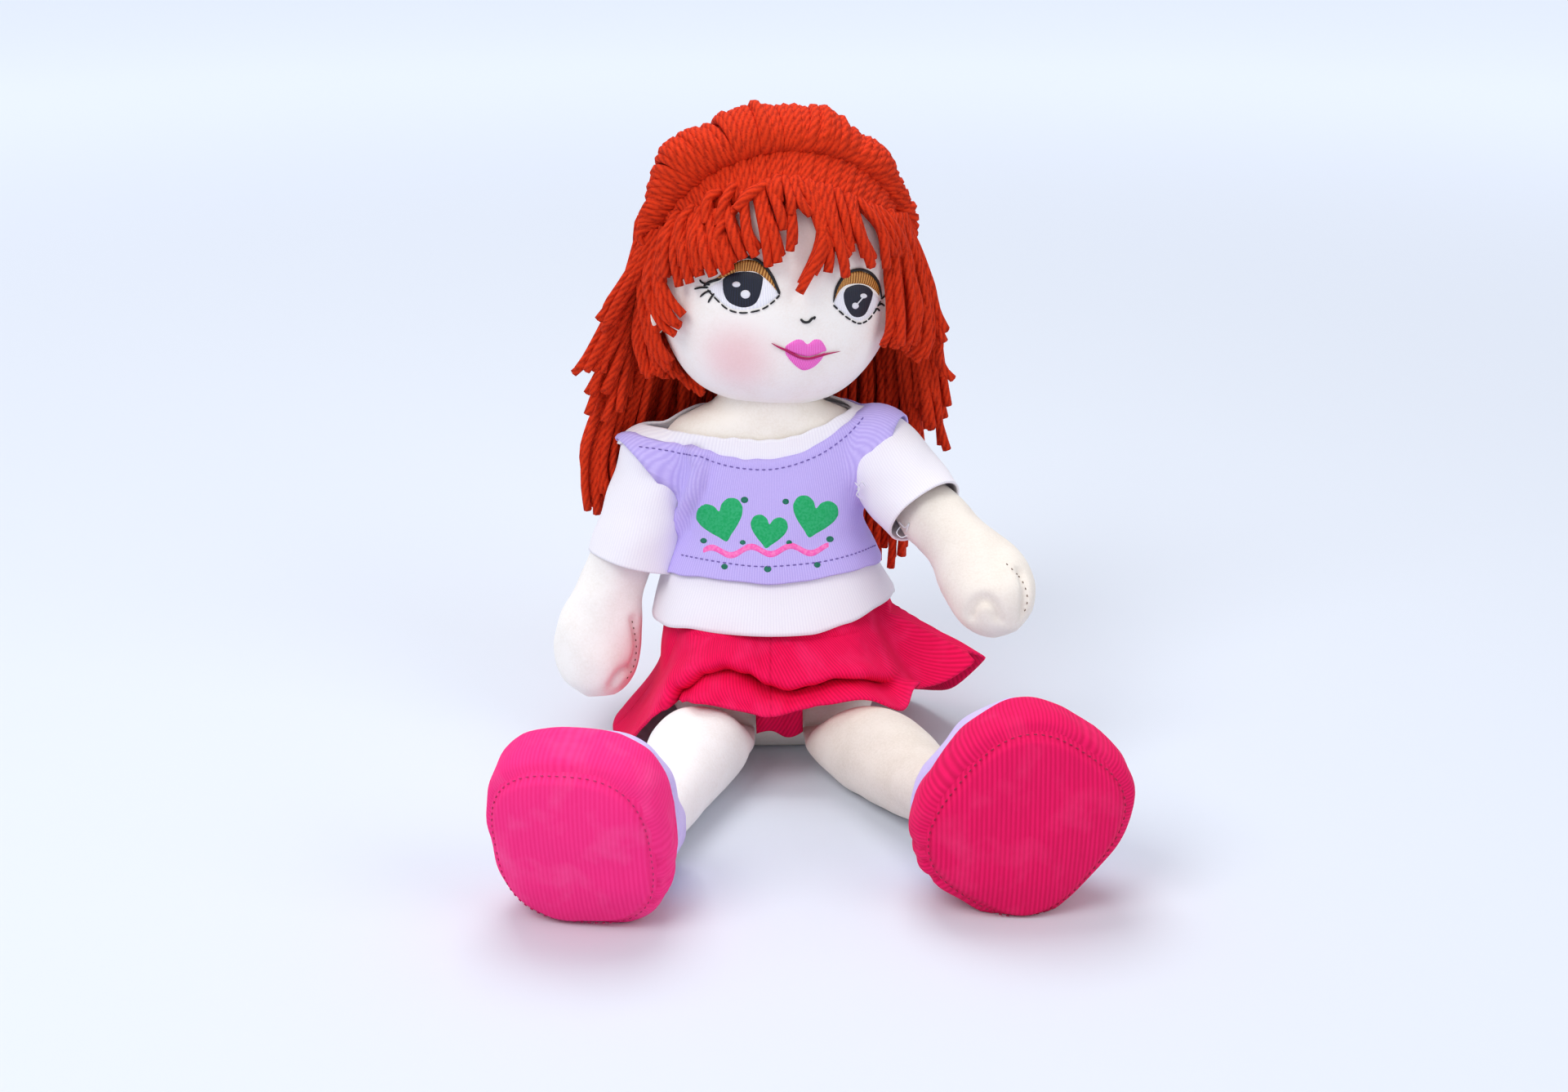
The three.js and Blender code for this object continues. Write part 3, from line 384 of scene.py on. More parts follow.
def rayon_thread(name, light, shade, roughness=0.5, metallic=0.0, gleam=0.4):
    """Threads run up the UV map. THREAD is drawn 0.7 mm wide, twice the real one, so that it shows."""
    finish, tree, shader = new_finish(name)
    place = add_node(tree, "UVMap").outputs[0]
    lay = add_node(tree, "TexWave", {"Vector": place, "Scale": wave_scale(THREAD), "Distortion": 0.0}, **BANDS)
    speck = add_node(tree, "TexNoise", {"Vector": place, "Scale": 2.2, "Detail": 3.0})
    # The colour darkens between the laid threads as painted shade, and the specks vary it at random.
    mixed = add_node(tree, "Math", {0: lay.outputs["Fac"], 1: speck.outputs["Fac"]}, operation="MULTIPLY")
    amount = add_node(tree, "MapRange", {"Value": mixed.outputs[0], "From Min": 0.05, "From Max": 0.6})
    colour = add_node(
        tree, "Mix", {0: amount.outputs[0], 6: linear(shade), 7: linear(light)}, data_type="RGBA"
    ).outputs[2]
    set_surface(tree, shader, colour, lay.outputs["Fac"], 0.4, 0.2, {
        "Roughness": roughness, "Metallic": metallic, "Specular IOR Level": gleam,
    })
    return finish


# %% [markdown]
# ## Smooth measures between stations
#
# A pattern cutter measures a stuffed limb at a few stations and lets the cloth run smoothly between them. The
# same is done here. Each station is an oval ring at a height, with its middle, its two widths and how square it
# is. A loft over edge loops could join such rings, but a formula for every height lets the same skin be pushed
# out for the cloth that lies on it, or asked for one point.

# %% Stations, oval rings and smooth lines
def between(stations, column, at):
    """One measure at a height, on a smooth curve through stations of (at, x, y, wide, deep, square)."""
    last = len(stations) - 1
    place = min(max(at, stations[0][0]), stations[last][0])
    k = 0
    while k < last - 1 and stations[k + 1][0] < place:
        k += 1

    def slope(i):
        a, b = max(i - 1, 0), min(i + 1, last)
        return (stations[b][column] - stations[a][column]) / (stations[b][0] - stations[a][0])

    span = stations[k + 1][0] - stations[k][0]
    t = (place - stations[k][0]) / span
    start, stop = stations[k][column], stations[k + 1][column]
    return (
        (1 + 2 * t) * (1 - t) ** 2 * start + t * (1 - t) ** 2 * span * slope(k)
        + t * t * (3 - 2 * t) * stop + t * t * (t - 1) * span * slope(k + 1)
    )


def oval(stations):
    """A skin of oval rings: u once round from +X towards +Y, and a height."""
    def skin(u, at):
        angle = 2 * math.pi * u
        power = 2 / between(stations, 5, at)
        x = math.copysign(abs(math.cos(angle)) ** power, math.cos(angle))
        y = math.copysign(abs(math.sin(angle)) ** power, math.sin(angle))
        return Vector((
            between(stations, 1, at) + between(stations, 3, at) / 2 * x,
            between(stations, 2, at) + between(stations, 4, at) / 2 * y,
            at,
        ))
    return skin


def pushed(skin, distance):
    """The same skin, pushed out square to itself."""
    def surface(u, at):
        around = skin(u + 0.003, at) - skin(u - 0.003, at)
        upward = skin(u, at + 0.3) - skin(u, at - 0.3)
        amount = distance(u, at) if callable(distance) else distance
        return skin(u, at) + around.cross(upward).normalized() * amount
    return surface


def mix(a, b, t):
    return a + (b - a) * t


def ease(low, high, value):
    t = min(max((value - low) / (high - low), 0), 1)
    return t * t * (3 - 2 * t)


def through_four(a, b, c, d, f):
    """A point part of the way from b to c, on a smooth curve that also comes from a and goes on to d."""
    return (
        b * 2 + (c - a) * f + (a * 2 - b * 5 + c * 4 - d) * f * f + (b * 3 - a - c * 3 + d) * f ** 3
    ) * 0.5


def along(points, t):
    """A point at t, from 0 to 1, on a smooth curve through the points."""
    last = len(points) - 1
    place = min(max(t, 0), 1) * last
    k = min(int(place), last - 1)
    a, b, c, d = (points[min(max(i, 0), last)] for i in (k - 1, k, k + 1, k + 2))
    return through_four(a, b, c, d, place - k)


print("half way between 0, 1 and 4:", along([Vector((n * n, 0, 0)) for n in range(3)], 0.5).x)

# %% [markdown]
# ## Grids and balls
#
# A cloth is a grid of threads, and a stuffed form is a closed ball. Both start as a plain bmesh shape, and each
# vertex is then carried to its place on the doll. Sculpting by hand would give the same forms, but not the same
# ones on every run. The grid's UV map is in millimetres, so that a knit or a wale keeps its real size.

# %% Cloth grids and stuffed balls
def lay_grid(bm, point, columns, rows, flat, slip=None):
    """Adds a grid whose vertex at (u, v), each from 0 to 1, goes to point(u, v). flat is its size in mm."""
    layer = bm.loops.layers.uv.verify()
    made = bmesh.ops.create_grid(bm, x_segments=columns, y_segments=rows, size=1, calc_uvs=True)
    places = {}
    for vertex in made["verts"]:
        u, v = (vertex.co.x + 1) / 2, (vertex.co.y + 1) / 2
        places[vertex] = (u, v)
        vertex.co = point(u, v)
    faces = {face for vertex in made["verts"] for face in vertex.link_faces}
    for face in faces:
        for loop in face.loops:
            u, v = places[loop.vert]
            loop[layer].uv = slip(u, v) if slip else (u * flat[0], v * flat[1])


def lay_ball(bm, point, around, rings):
    """Adds a ball whose vertex at (u, v), once round and from pole to pole, goes to point(u, v)."""
    made = bmesh.ops.create_uvsphere(bm, u_segments=around, v_segments=rings, radius=1)
    for vertex in made["verts"]:
        u = math.atan2(vertex.co.y, vertex.co.x) / (2 * math.pi) % 1
        v = math.acos(min(max(-vertex.co.z, -1), 1)) / math.pi
        vertex.co = point(u, v)


def sew(bm):
    """Joins the edges that meet, as a seam does."""
    bmesh.ops.remove_doubles(bm, verts=bm.verts, dist=0.01)


def rest_on_floor(bm, height):
    """Flattens what would sink below the floor, as the doll's own weight does."""
    for vertex in bm.verts:
        vertex.co.z = max(vertex.co.z, height)


# %% [markdown]
# ## Threads and running stitches
#
# A line of embroidery or a loose thread is a thin tube along a smooth path. A curve with a bevel would do for one,
# but its thickness can't be tied to its length so simply, and hundreds of stitches would be hundreds of curves. A
# running stitch is a row of such short tubes with gaps between them, all in one mesh.

# %% Threads and stitches
def thread_line(bm, points, radius, rings=24, sides=6, taper=(0.3, 0.3)):
    """A tube of thread along points, thinner at its ends."""
    path = [along(points, k / rings) for k in range(rings + 1)]

    def tube(u, v):
        k = min(int(round(v * rings)), rings)
        ahead = (path[min(k + 1, rings)] - path[max(k - 1, 0)]).normalized()
        side_way = ahead.cross(Vector((0, 1, 0.2))).normalized()
        other = side_way.cross(ahead)
        thick = radius * min(mix(taper[0], 1, min(v * 5, 1)), mix(taper[1], 1, min((1 - v) * 5, 1)))
        if k in (0, rings):
            thick = 0
        angle = 2 * math.pi * u
        return path[k] + (side_way * math.cos(angle) + other * math.sin(angle)) * thick
    lay_grid(bm, tube, sides, rings, (6, 30))


def stitch_along(bm, points, radius, long=2.0, gap=0.9):
    """Running stitches: short threads one after another along a smooth line of points."""
    steps = 240
    line = [along(points, k / steps) for k in range(steps + 1)]
    gone = [0.0]
    for a, b in zip(line, line[1:]):
        gone.append(gone[-1] + (b - a).length)

    def at(distance):
        k = 0
        while k < steps - 1 and gone[k + 1] < distance:
            k += 1
        span = max(gone[k + 1] - gone[k], 1e-6)
        return line[k].lerp(line[k + 1], min(max((distance - gone[k]) / span, 0), 1))

    start = 0.0
    while start + long < gone[-1]:
        thread_line(bm, [at(start), at(start + long / 2), at(start + long)], radius, rings=4, taper=(0.6, 0.6))
        start += long + gap


# %% [markdown]
# ## From a shaped mesh to a finished piece
#
# A piece is shaped in millimetres and finished in metres, with its object at the origin and its place in its
# mesh. Before that, seams are pressed in and cloth gets its slight unevenness, both by moving vertices along
# their normals. A cloth simulation would make its own folds, but the photographed ones have set places.

# %% Pressing, rippling and finishing
def finish_piece(bm, name, finish, merge=True, outward=False):
    """Closes seams, turns millimetres to metres and makes the object, at the origin."""
    if merge:
        sew(bm)
    if outward:
        bmesh.ops.recalc_face_normals(bm, faces=bm.faces)
    for face in bm.faces:
        face.smooth = True
    bmesh.ops.scale(bm, vec=(MM, MM, MM), verts=bm.verts)
    mesh = bpy.data.meshes.new(name)
    bm.to_mesh(mesh)
    bm.free()
    mesh.materials.append(finish)
    piece = bpy.data.objects.new(name, mesh)
    bpy.context.scene.collection.objects.link(piece)
    print(name, len(mesh.polygons), "faces")
    return piece


def dent(bm, points, width, depth, only=None):
    """Presses a groove into the mesh along a line through the points; a depth below 0 raises a ridge."""
    line = [along(points, k / 24) for k in range(25)]
    bm.normal_update()
    moves = []
    for vertex in bm.verts:
        if only and not only(vertex.co):
            continue
        gap = min((vertex.co - p).length for p in line)
        if gap < 3 * width:
            moves.append((vertex, vertex.normal * -depth * math.exp(-((gap / width) ** 2))))
    for vertex, move in moves:
        vertex.co += move


def ripple(bm, size, amount, seed=0):
    """Moves each vertex in or out by soft noise of a given size, for cloth that isn't quite smooth."""
    bm.normal_update()
    moves = [
        (vertex, vertex.normal * amount * noise.noise(vertex.co / size + Vector((seed, 0, 0))))
        for vertex in bm.verts
    ]
    for vertex, move in moves:
        vertex.co += move


def thicken(piece, thickness, out=1):
    """Gives a cloth its thickness with a Solidify modifier; out is 1 to grow outwards."""
    wall = piece.modifiers.new("cloth_thickness", "SOLIDIFY")
    wall.thickness = thickness * MM
    wall.offset = out
    wall.use_rim = True


# %% [markdown]
# ## Where each body of the doll stands
#
# A limb is easiest to shape along its own axis, standing straight, and is then carried to its place. So each body
# has a frame of its own: where it is sewn on, and which way it points. The torso leans back a little, the head
# is turned to the doll's left, and every limb has its own pose. The joints turn about the same places.

# %% Frames of the torso, head, arms and legs
def turned(x, y, z):
    axes = (("X", x), ("Y", y), ("Z", z))
    result = Matrix.Identity(4)
    for axis, degrees in axes:
        result = result @ Matrix.Rotation(math.radians(degrees), 4, axis)
    return result


def frame_from(x, y, z, origin):
    rows = Matrix((x, y, z)).transposed().to_4x4()
    rows.translation = origin
    return rows


TORSO = turned(-4.5, -1, 0)
NECK = TORSO @ Vector((0, 0, 168))
HEAD = Matrix.Translation(NECK) @ turned(-7.5, 2, 15)
SIDES = {"right": -1, "left": 1}
SHOULDER = {side: TORSO @ Vector((side * 55.5, 0, 137)) for side in (-1, 1)}
ARM_LINE = {-1: Vector((-0.3, -0.21, -0.93)).normalized(), 1: Vector((0.51, -0.71, -0.46)).normalized()}
ARM = {}
for side in (-1, 1):
    down = ARM_LINE[side]
    across = (Vector((1, 0, 0)) - down * down.x).normalized()
    ARM[side] = frame_from(across, down.cross(across), down, SHOULDER[side])
HIP = {-1: Vector((-28, -39.63, 16.94)), 1: Vector((33, -39.63, 16.94))}
LEG = {side: frame_from(Vector((1, 0, 0)), Vector((0, 0, 1)), Vector((0, -1, 0)), HIP[side]) for side in (-1, 1)}
print("neck at", [round(c, 1) for c in NECK])

# %% [markdown]
# ## The torso
#
# The torso is a bag of velour, sewn inside out, turned and stuffed hard, with the broad neck in one with it. It
# could be a subdivided box, but a ball carried onto the oval rings is closed, even and has a pole at each end,
# where the real seam is pulled shut. Its seat is pressed flat by the doll's weight.

# %% Torso
NECK_RADIUS = 26
TORSO_RINGS = [
    (-6, 0, 0, 50, 38, 3.4), (0, 0, 0, 64, 52, 3.4), (14, 0, 0, 96, 76, 3.4), (40, 0, 0, 104, 82, 2.7),
    (86, 0, 0, 90, 72, 2.3), (114, 0, 0, 82, 64, 2.3), (146, 0, 0, 104, 52, 2.3), (159, 0, 0, 90, 52, 2.1),
] + [
    (168 + NECK_RADIUS * math.sin(a), 0, 0, 2 * NECK_RADIUS * math.cos(a), 2 * NECK_RADIUS * math.cos(a), 2)
    for a in (0, 0.45, 0.9, 1.36)
]
torso_skin = oval(TORSO_RINGS)


def capped(skin, low, high, edge=0.04):
    """A skin from one height to another whose two ends are drawn in to a pole."""
    def form(u, v):
        at = mix(low, high, min(max((v - edge) / (1 - 2 * edge), 0), 1))
        reach = min(v, 1 - v) / edge
        point = skin(u, at)
        if reach >= 1:
            return point
        centre = (skin(0, at) + skin(0.25, at) + skin(0.5, at) + skin(0.75, at)) / 4
        return centre + (point - centre) * math.sin(min(reach, 1) * math.pi / 2)
    return form


cream_velour = velour("cream_velour", "#F9F2E8", "#EEE4D6")
bm = bmesh.new()
lay_ball(bm, capped(torso_skin, -2, TORSO_RINGS[-1][0]), 72, 60)
bmesh.ops.transform(bm, matrix=TORSO, verts=bm.verts)
ripple(bm, 22, 0.8, 3)
rest_on_floor(bm, 0.3)
torso_body = finish_piece(bm, "torso_body", cream_velour)
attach(torso_body, "torso")
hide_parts("torso_skin", "torso_filling")

# %% [markdown]
# ## The arms
#
# Each arm is one bag of velour: a round root that is sewn on at the shoulder, an even tube and a mitten hand. The
# thumb is only a pinch, sewn through the stuffed hand, so it is pressed into the finished form rather than
# modelled on it. The creases are where the photograph shows them, found by a line of sight through a pixel.

# %% Arms
ARM_LONG = {-1: 120, 1: 116}


def arm_rings(side):
    bow, tip = side * 3, ARM_LONG[side]
    return [
        (-7.8, 0, 0, 9, 9, 2), (-4.5, 0, 0, 15.6, 15.6, 2), (0, 0, 0, 18, 18, 2), (19, 0, 0, 22.2, 22.2, 2),
        (39, bow * 0.5, 0, 32, 32, 2), (tip / 2 + 2, bow, 0, 32, 31, 2), (tip - 32, bow * 0.6, 0, 43, 33, 2),
        (tip - 15, 0, 0, 40, 31, 2), (tip - 5, -bow * 0.4, 0, 25.8, 20.5, 2), (tip, -bow * 0.5, 0, 3, 3, 2),
    ]


HAND_CREASES = {
    1: [[(1188, 754), (1194, 740), (1207, 733), (1218, 742), (1222, 757)], [(1250, 700), (1256, 722), (1254, 745)]],
    -1: [[(750, 838), (760, 824), (774, 816)], [(776, 760), (781, 790), (777, 812)]],
}
# Both arms are one velour: the right arm's copy is painted lighter, as lit, and the left arm's copy darker, as
# painted shade.
arm_finish = {
    -1: velour("arm_velour_painted_lit", "#FDF9F5", "#F3ECE5"), 1: velour("arm_velour_painted_shade", "#F3EBE1", "#E8DDD1"),
}
arm_trees = {}
for name, side in SIDES.items():
    bm = bmesh.new()
    lay_ball(bm, capped(oval(arm_rings(side)), -8, ARM_LONG[side] - 0.2, 0.02), 64, 72)
    ripple(bm, 14, 1.0, side * 5)
    for at in (46, 74):
        ring = [Vector((16 * math.cos(a), 16 * math.sin(a) - 1, at + 2 * math.sin(2 * a))) for a in (3.6, 4.2, 4.8)]
        dent(bm, ring, 2.6, 0.9)
    bmesh.ops.transform(bm, matrix=ARM[side], verts=bm.verts)
    whole = BVHTree.FromBMesh(bm)
    for line in HAND_CREASES[side]:
        spots = [whole.ray_cast(EYE, sight(px, py))[0] for px, py in line]
        dent(bm, [spot for spot in spots if spot], 2.2, 3.0)
    bm.normal_update()
    arm_trees[side] = BVHTree.FromBMesh(bm)
    arm = finish_piece(bm, f"{name}_arm", arm_finish[side])
    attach(arm, f"{name}_arm")
    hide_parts(f"{name}_arm_skin", f"{name}_arm_filling")

# %% [markdown]
# ## The legs
#
# A rag doll sits because its leg starts as a flat seam with no stuffing, which folds like a hinge, and only then
# fills out to a round thigh. The rings follow that: almost flat at the hip, round a hand's breadth on, and thin
# at the ankle, where the leg goes into the shoe. Both legs are one velour, painted lighter on the right leg as
# lit and darker and warmer on the left as painted shade.

# %% Legs
LEG_SPREAD = {-1: 16, 1: 27}
ANKLE_LIFT = {-1: 4, 1: 20}
LEG_LONG = 112
ANKLE = 31
SEAM_HEIGHT = HIP[1].z


def leg_rings(side):
    slant = math.tan(math.radians(LEG_SPREAD[side])) * side
    widen = 1 / math.cos(math.radians(LEG_SPREAD[side]))
    lift = ANKLE_LIFT[side]

    def ring(at, wide, tall, up):
        middle = tall / 2 - 0.5 + up - SEAM_HEIGHT
        return (at, slant * max(at - 6, 0), middle, wide * (widen if at > 20 else 1), tall, 2)

    return [
        ring(-2.5, 36, 1.2, SEAM_HEIGHT - 0.1), ring(0, 38, 5, SEAM_HEIGHT - 2), ring(10.2, 41, 16.7, 6),
        ring(20.4, 41.6, 32.6, 2.2), ring(34, 44, 44, 0), ring(74.6, 35, 35, lift * 0.3),
        ring(112, ANKLE, ANKLE, lift), ring(116, ANKLE, ANKLE, lift),
    ]


# Painted light: the right leg's velour copy is painted lighter, as lit, and the left leg's copy darker, as shade.
leg_finish = {
    -1: velour("leg_velour_painted_lit", "#FEFBF8", "#F4EEE8"), 1: velour("leg_velour_painted_shade", "#EEE4D8", "#E0D4C5"),
}
for name, side in SIDES.items():
    bm = bmesh.new()
    lay_ball(bm, capped(oval(leg_rings(side)), -2.5, LEG_LONG, 0.03), 64, 64)
    ripple(bm, 16, 1.0, side * 9)
    bmesh.ops.transform(bm, matrix=LEG[side], verts=bm.verts)
    rest_on_floor(bm, 0.3)
    leg = finish_piece(bm, f"{name}_leg", leg_finish[side])
    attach(leg, f"{name}_leg")
    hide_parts(f"{name}_leg_skin", f"{name}_leg_filling")

# %% [markdown]
# ## The shoes
#
# Each shoe is a stuffed boot of three panels: a needlecord sole, a needlecord band round it and a lavender
# velour upper that closes on the ankle. It stands on its heel with the sole to the viewer, turned, tilted and
# nodded forward. Its frame is worked out from those three angles, and its height from where the lowest ring of
# the turned shoe touches the floor, so that it neither floats nor sinks when an angle is changed.

# %% Shoe frames and rings
SHOE_WIDE, SHOE_LONG, BAND, SHOE_DEEP = 79, 89, 30, 60
SHOE_PLUMP = {-1: 0.94, 1: 1.0}
SHOE_SECTIONS = [(0, 0.9), (6, 0.97), (14, 1.0), (BAND, 0.97)]
SHOE_POSE = {-1: (Vector((-82, -205, 0)), 12, -3, 11), 1: (Vector((106, -192, 0)), -4, 36, 0)}
SHOE = {}
for side, (place, *angles) in SHOE_POSE.items():
    face, tilt, nod = (math.radians(angle) for angle in angles)
    level = Vector((math.sin(face), math.cos(face), 0))
    aside = Vector((0, 0, 1)).cross(level).normalized()
    back = level * math.cos(nod) + Vector((0, 0, math.sin(nod)))
    upright = Vector((0, 0, math.cos(nod))) - level * math.sin(nod)
    toe = upright * math.cos(tilt) - aside * math.sin(tilt)
    half = SHOE_PLUMP[side] / 2
    under = math.cos(nod) * math.hypot(SHOE_LONG * half * math.cos(tilt), SHOE_WIDE * half * math.sin(tilt))
    rise = max(under * size - at * back.z for at, size in SHOE_SECTIONS)
    SHOE[side] = frame_from(toe.cross(back), toe, back, Vector((place.x, place.y, rise - 0.5)))
    print("shoe", side, "stands", round(rise, 1), "mm above the floor at its middle")


def shoe_rings(side):
    leg = leg_rings(side)
    at_ankle = LEG_LONG - 4
    leg_end = LEG[side] @ Vector((between(leg, 1, at_ankle), between(leg, 2, at_ankle), at_ankle))
    ankle = SHOE[side].inverted() @ leg_end
    plump = SHOE_PLUMP[side]

    def ring(at, size, part):
        return (
            at, ankle.x * part, ankle.y * part, mix(SHOE_WIDE * plump * size, ANKLE + 8, part),
            mix(SHOE_LONG * plump * size, ANKLE + 6, part), mix(2.8, 2, part),
        )

    sizes = ((0, 0.93, 0), (6, 0.98, 0), (14, 1, 0), (BAND, 0.97, 0), (45, 0.9, 0.42), (60, 0.8, 1))
    return [ring(*size) for size in sizes]


# %% [markdown]
# ## Soles
#
# The sole is a flat panel that the stuffing puffs out, held back by the seam at its rim. A grid is bent round
# into a disc, so its rings follow the rim, and puffed by a curve that is steep only near the seam. Its wales must
# run straight down, so the UV map is laid again in the sole's own plane. The seam is closed with small stitches.

# %% Sole panels
# Both shoes are one needlecord sewn with one thread: the right shoe's copies are painted lighter, as lit, and the
# left shoe's deeper, as painted shade.
cord_pinks = {
    -1: needlecord("pink_needlecord_painted_lit", "#FF3489", "#F6267C", 1.9, "#FF64A4"),
    1: needlecord("pink_needlecord_painted_shade", "#F01262", "#CE0A4E", 2.0, "#F43C78"),
}
seam_thread = {side: rayon_thread(f"seam_thread_{n}", c, d) for n, side, c, d in (
    ("light", -1, "#D82C7C", "#B41A5E"), ("deep", 1, "#B80E4C", "#8E0A3C"))}
for name, side in SIDES.items():
    skin = oval(shoe_rings(side))

    def sole(u, v, skin=skin):
        rim = skin(u, 0)
        r = math.sqrt(v)
        puff = 6.5 * (1 - r ** 3)
        edge = 3.4 * ease(0.9, 1, r)
        return Vector((rim.x * r, rim.y * r, -puff + edge - 0.4))

    bm = bmesh.new()
    lay_grid(bm, sole, 96, 28, (1, 1))
    sew(bm)
    upward = SHOE[side].inverted().to_3x3() @ Vector((0, 0, 1))
    upward = Vector((upward.x, upward.y)).normalized()
    layer = bm.loops.layers.uv.verify()
    for face in bm.faces:
        for loop in face.loops:
            x, y, _ = loop.vert.co
            loop[layer].uv = (x * upward.y - y * upward.x, x * upward.x + y * upward.y)
    ripple(bm, 18, 0.9, side)
    bmesh.ops.transform(bm, matrix=SHOE[side], verts=bm.verts)
    rest_on_floor(bm, 0.35)
    threads = bmesh.new()
    rim = [SHOE[side] @ Vector((skin(k / 48, 0).x * 0.972, skin(k / 48, 0).y * 0.972, 0.2)) for k in range(49)]
    rim = [Vector((p.x, p.y, max(p.z, 1.0))) for p in rim]
    stitch_along(threads, rim, 0.32, 1.7, 1.5)
    seam = finish_piece(threads, f"{name}_sole_stitches", seam_thread[side], outward=True)
    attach(seam, f"{name}_leg")
    panel = finish_piece(bm, f"{name}_sole_panel", cord_pinks[side])
    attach(panel, f"{name}_leg")
    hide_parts(f"{name}_shoe_sole", f"{name}_foot_filling")

# %% [markdown]
# ## Side bands
#
# The band is one strip of needlecord, sewn round the sole and gathered a little into its seam, so it swells
# between its two edges. Near the heel, where the cloth bunches, short pinches run across it. They are found from
# the picture too: the place round the rim that falls nearest to a pixel.

# %% Side bands
SHOE_ROUND = math.pi * (SHOE_WIDE + SHOE_LONG) / 2
HEEL_PINCHES = {-1: [(814, 1046), (814, 1074), (806, 1102)], 1: [(1117, 1036), (1119, 1060), (1128, 1086)]}


def rim_near(skin, side, px, py):
    """How far round the shoe, from 0 to 1, the place nearest to a pixel of the picture is."""
    def gap(u):
        x, y = pixel_of(SHOE[side] @ skin(u, 8))
        return math.hypot(x - px, y - py)
    return min((k / 96 for k in range(96)), key=gap)


for name, side in SIDES.items():
    skin = oval(shoe_rings(side))

    def side_band(u, v, skin=skin):
        at = mix(0, BAND + 1, v)
        swell = 1.9 * math.sin(math.pi * min(v * 1.1, 1)) - 3.0 * (1 - ease(0, 0.16, v))
        return pushed(skin, swell)(u, at)

    bm = bmesh.new()
    lay_grid(bm, side_band, 120, 18, (SHOE_ROUND, BAND))
    sew(bm)
    for px, py in HEEL_PINCHES[side]:
        u = rim_near(skin, side, px, py)
        dent(bm, [skin(u, 1), skin(u + 0.006, 9), skin(u - 0.004, 17), skin(u, 25)], 2.0, 2.6)
    ripple(bm, 12, 0.9, side + 4)
    bmesh.ops.transform(bm, matrix=SHOE[side], verts=bm.verts)
    rest_on_floor(bm, 0.35)
    band = finish_piece(bm, f"{name}_side_band", cord_pinks[side])
    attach(band, f"{name}_leg")
    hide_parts(f"{name}_shoe_band")

# %% [markdown]
# ## Uppers
#
# The upper is soft lavender velour that narrows from the band to the ankle and is closed there by a drawn seam.
# It is the same skin again, swelled a little, and its last rows turn in round the leg, so no gap shows from above.

# %% Uppers
lavender_velour = velour("lavender_velour", "#D3C5F5", "#C3B2EC")
for name, side in SIDES.items():
    skin = oval(shoe_rings(side))

    def upper(u, v, skin=skin):
        part = min(v / 0.86, 1)
        at = mix(BAND - 0.5, SHOE_DEEP, part)
        swell = 2.5 * math.sin(math.pi * part ** 0.8) - 0.8 * (1 - ease(0, 0.15, part))
        point = pushed(skin, swell)(u, at)
        middle = (skin(0, at) + skin(0.5, at)) / 2
        return middle + (point - middle) * (1 - 0.3 * ease(0.86, 1, v))

    bm = bmesh.new()
    lay_grid(bm, upper, 96, 20, (SHOE_ROUND, BAND))
    sew(bm)
    ripple(bm, 14, 1.4, side + 8)
    bmesh.ops.transform(bm, matrix=SHOE[side], verts=bm.verts)
    rest_on_floor(bm, 0.35)
    top = finish_piece(bm, f"{name}_shoe_top", lavender_velour)
    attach(top, f"{name}_leg")
    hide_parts(f"{name}_shoe_upper")

# %% [markdown]
# ## The head
#
# The head is an egg of velour with full cheeks, stuffed firmly and turned a little to the doll's left. A ball
# with its width set by a power of the sine is fuller at the cheeks than at the crown, which scaling alone can't
# give. The rosy cheeks are rubbed on with colour, so they are in the skin's finish, as two soft patches. A search
# tree of the finished form lets every later stitch be laid exactly on it.

# %% Head
HEAD_WIDE, HEAD_DEEP, HEAD_TALL = 118, 94, 129
HEAD_SHIFT = Vector((0.5, -7, 0))
MID_FACE = (975, 380)


def head_form(u, v, lift=0.0):
    """The egg in the head's own frame; the exponents fill the cheeks more than the crown."""
    full = math.sin(math.pi * v) ** (0.72 if v < 0.5 else 0.9)
    angle = 2 * math.pi * u
    middle = HEAD_TALL / 2
    return HEAD_SHIFT + Vector((
        (HEAD_WIDE / 2 + lift) * full * math.cos(angle),
        (HEAD_DEEP / 2 + lift) * full * math.sin(angle),
        middle - (middle + lift) * math.cos(math.pi * v),
    ))


bm = bmesh.new()
lay_ball(bm, head_form, 128, 96)
bmesh.ops.transform(bm, matrix=HEAD, verts=bm.verts)
ripple(bm, 30, 0.7, 2)
bm.normal_update()
head_tree = BVHTree.FromBMesh(bm)


def on_face(px, py, lift=0.0):
    """The place on the face behind a pixel of the picture, lifted off the velour."""
    place, normal, _, _ = head_tree.ray_cast(EYE, sight(px, py))
    while place is None:
        px, py = mix(px, MID_FACE[0], 0.02), mix(py, MID_FACE[1], 0.02)
        place, normal, _, _ = head_tree.ray_cast(EYE, sight(px, py))
    return place + normal * lift


cheeks = [(on_face(901, 438), 29, 0.5, "#F5AEB6"), (on_face(1084, 425), 17, 0.35, "#F0A8BC")]
face_velour = velour("cream_velour_face", "#FFFBF6", "#F8F0E8", cheeks)
head_body = finish_piece(bm, "head_body", face_velour)
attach(head_body, "head")
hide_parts("head_skin", "head_filling")

# %% [markdown]
# ## The ears
#
# The ears are two small padded flaps, sewn to the sides of the head at the height of the cheeks. Only one shows
# below the hair, so the other is its mirror image. Each is a small ball, flattened and bent a little outwards.

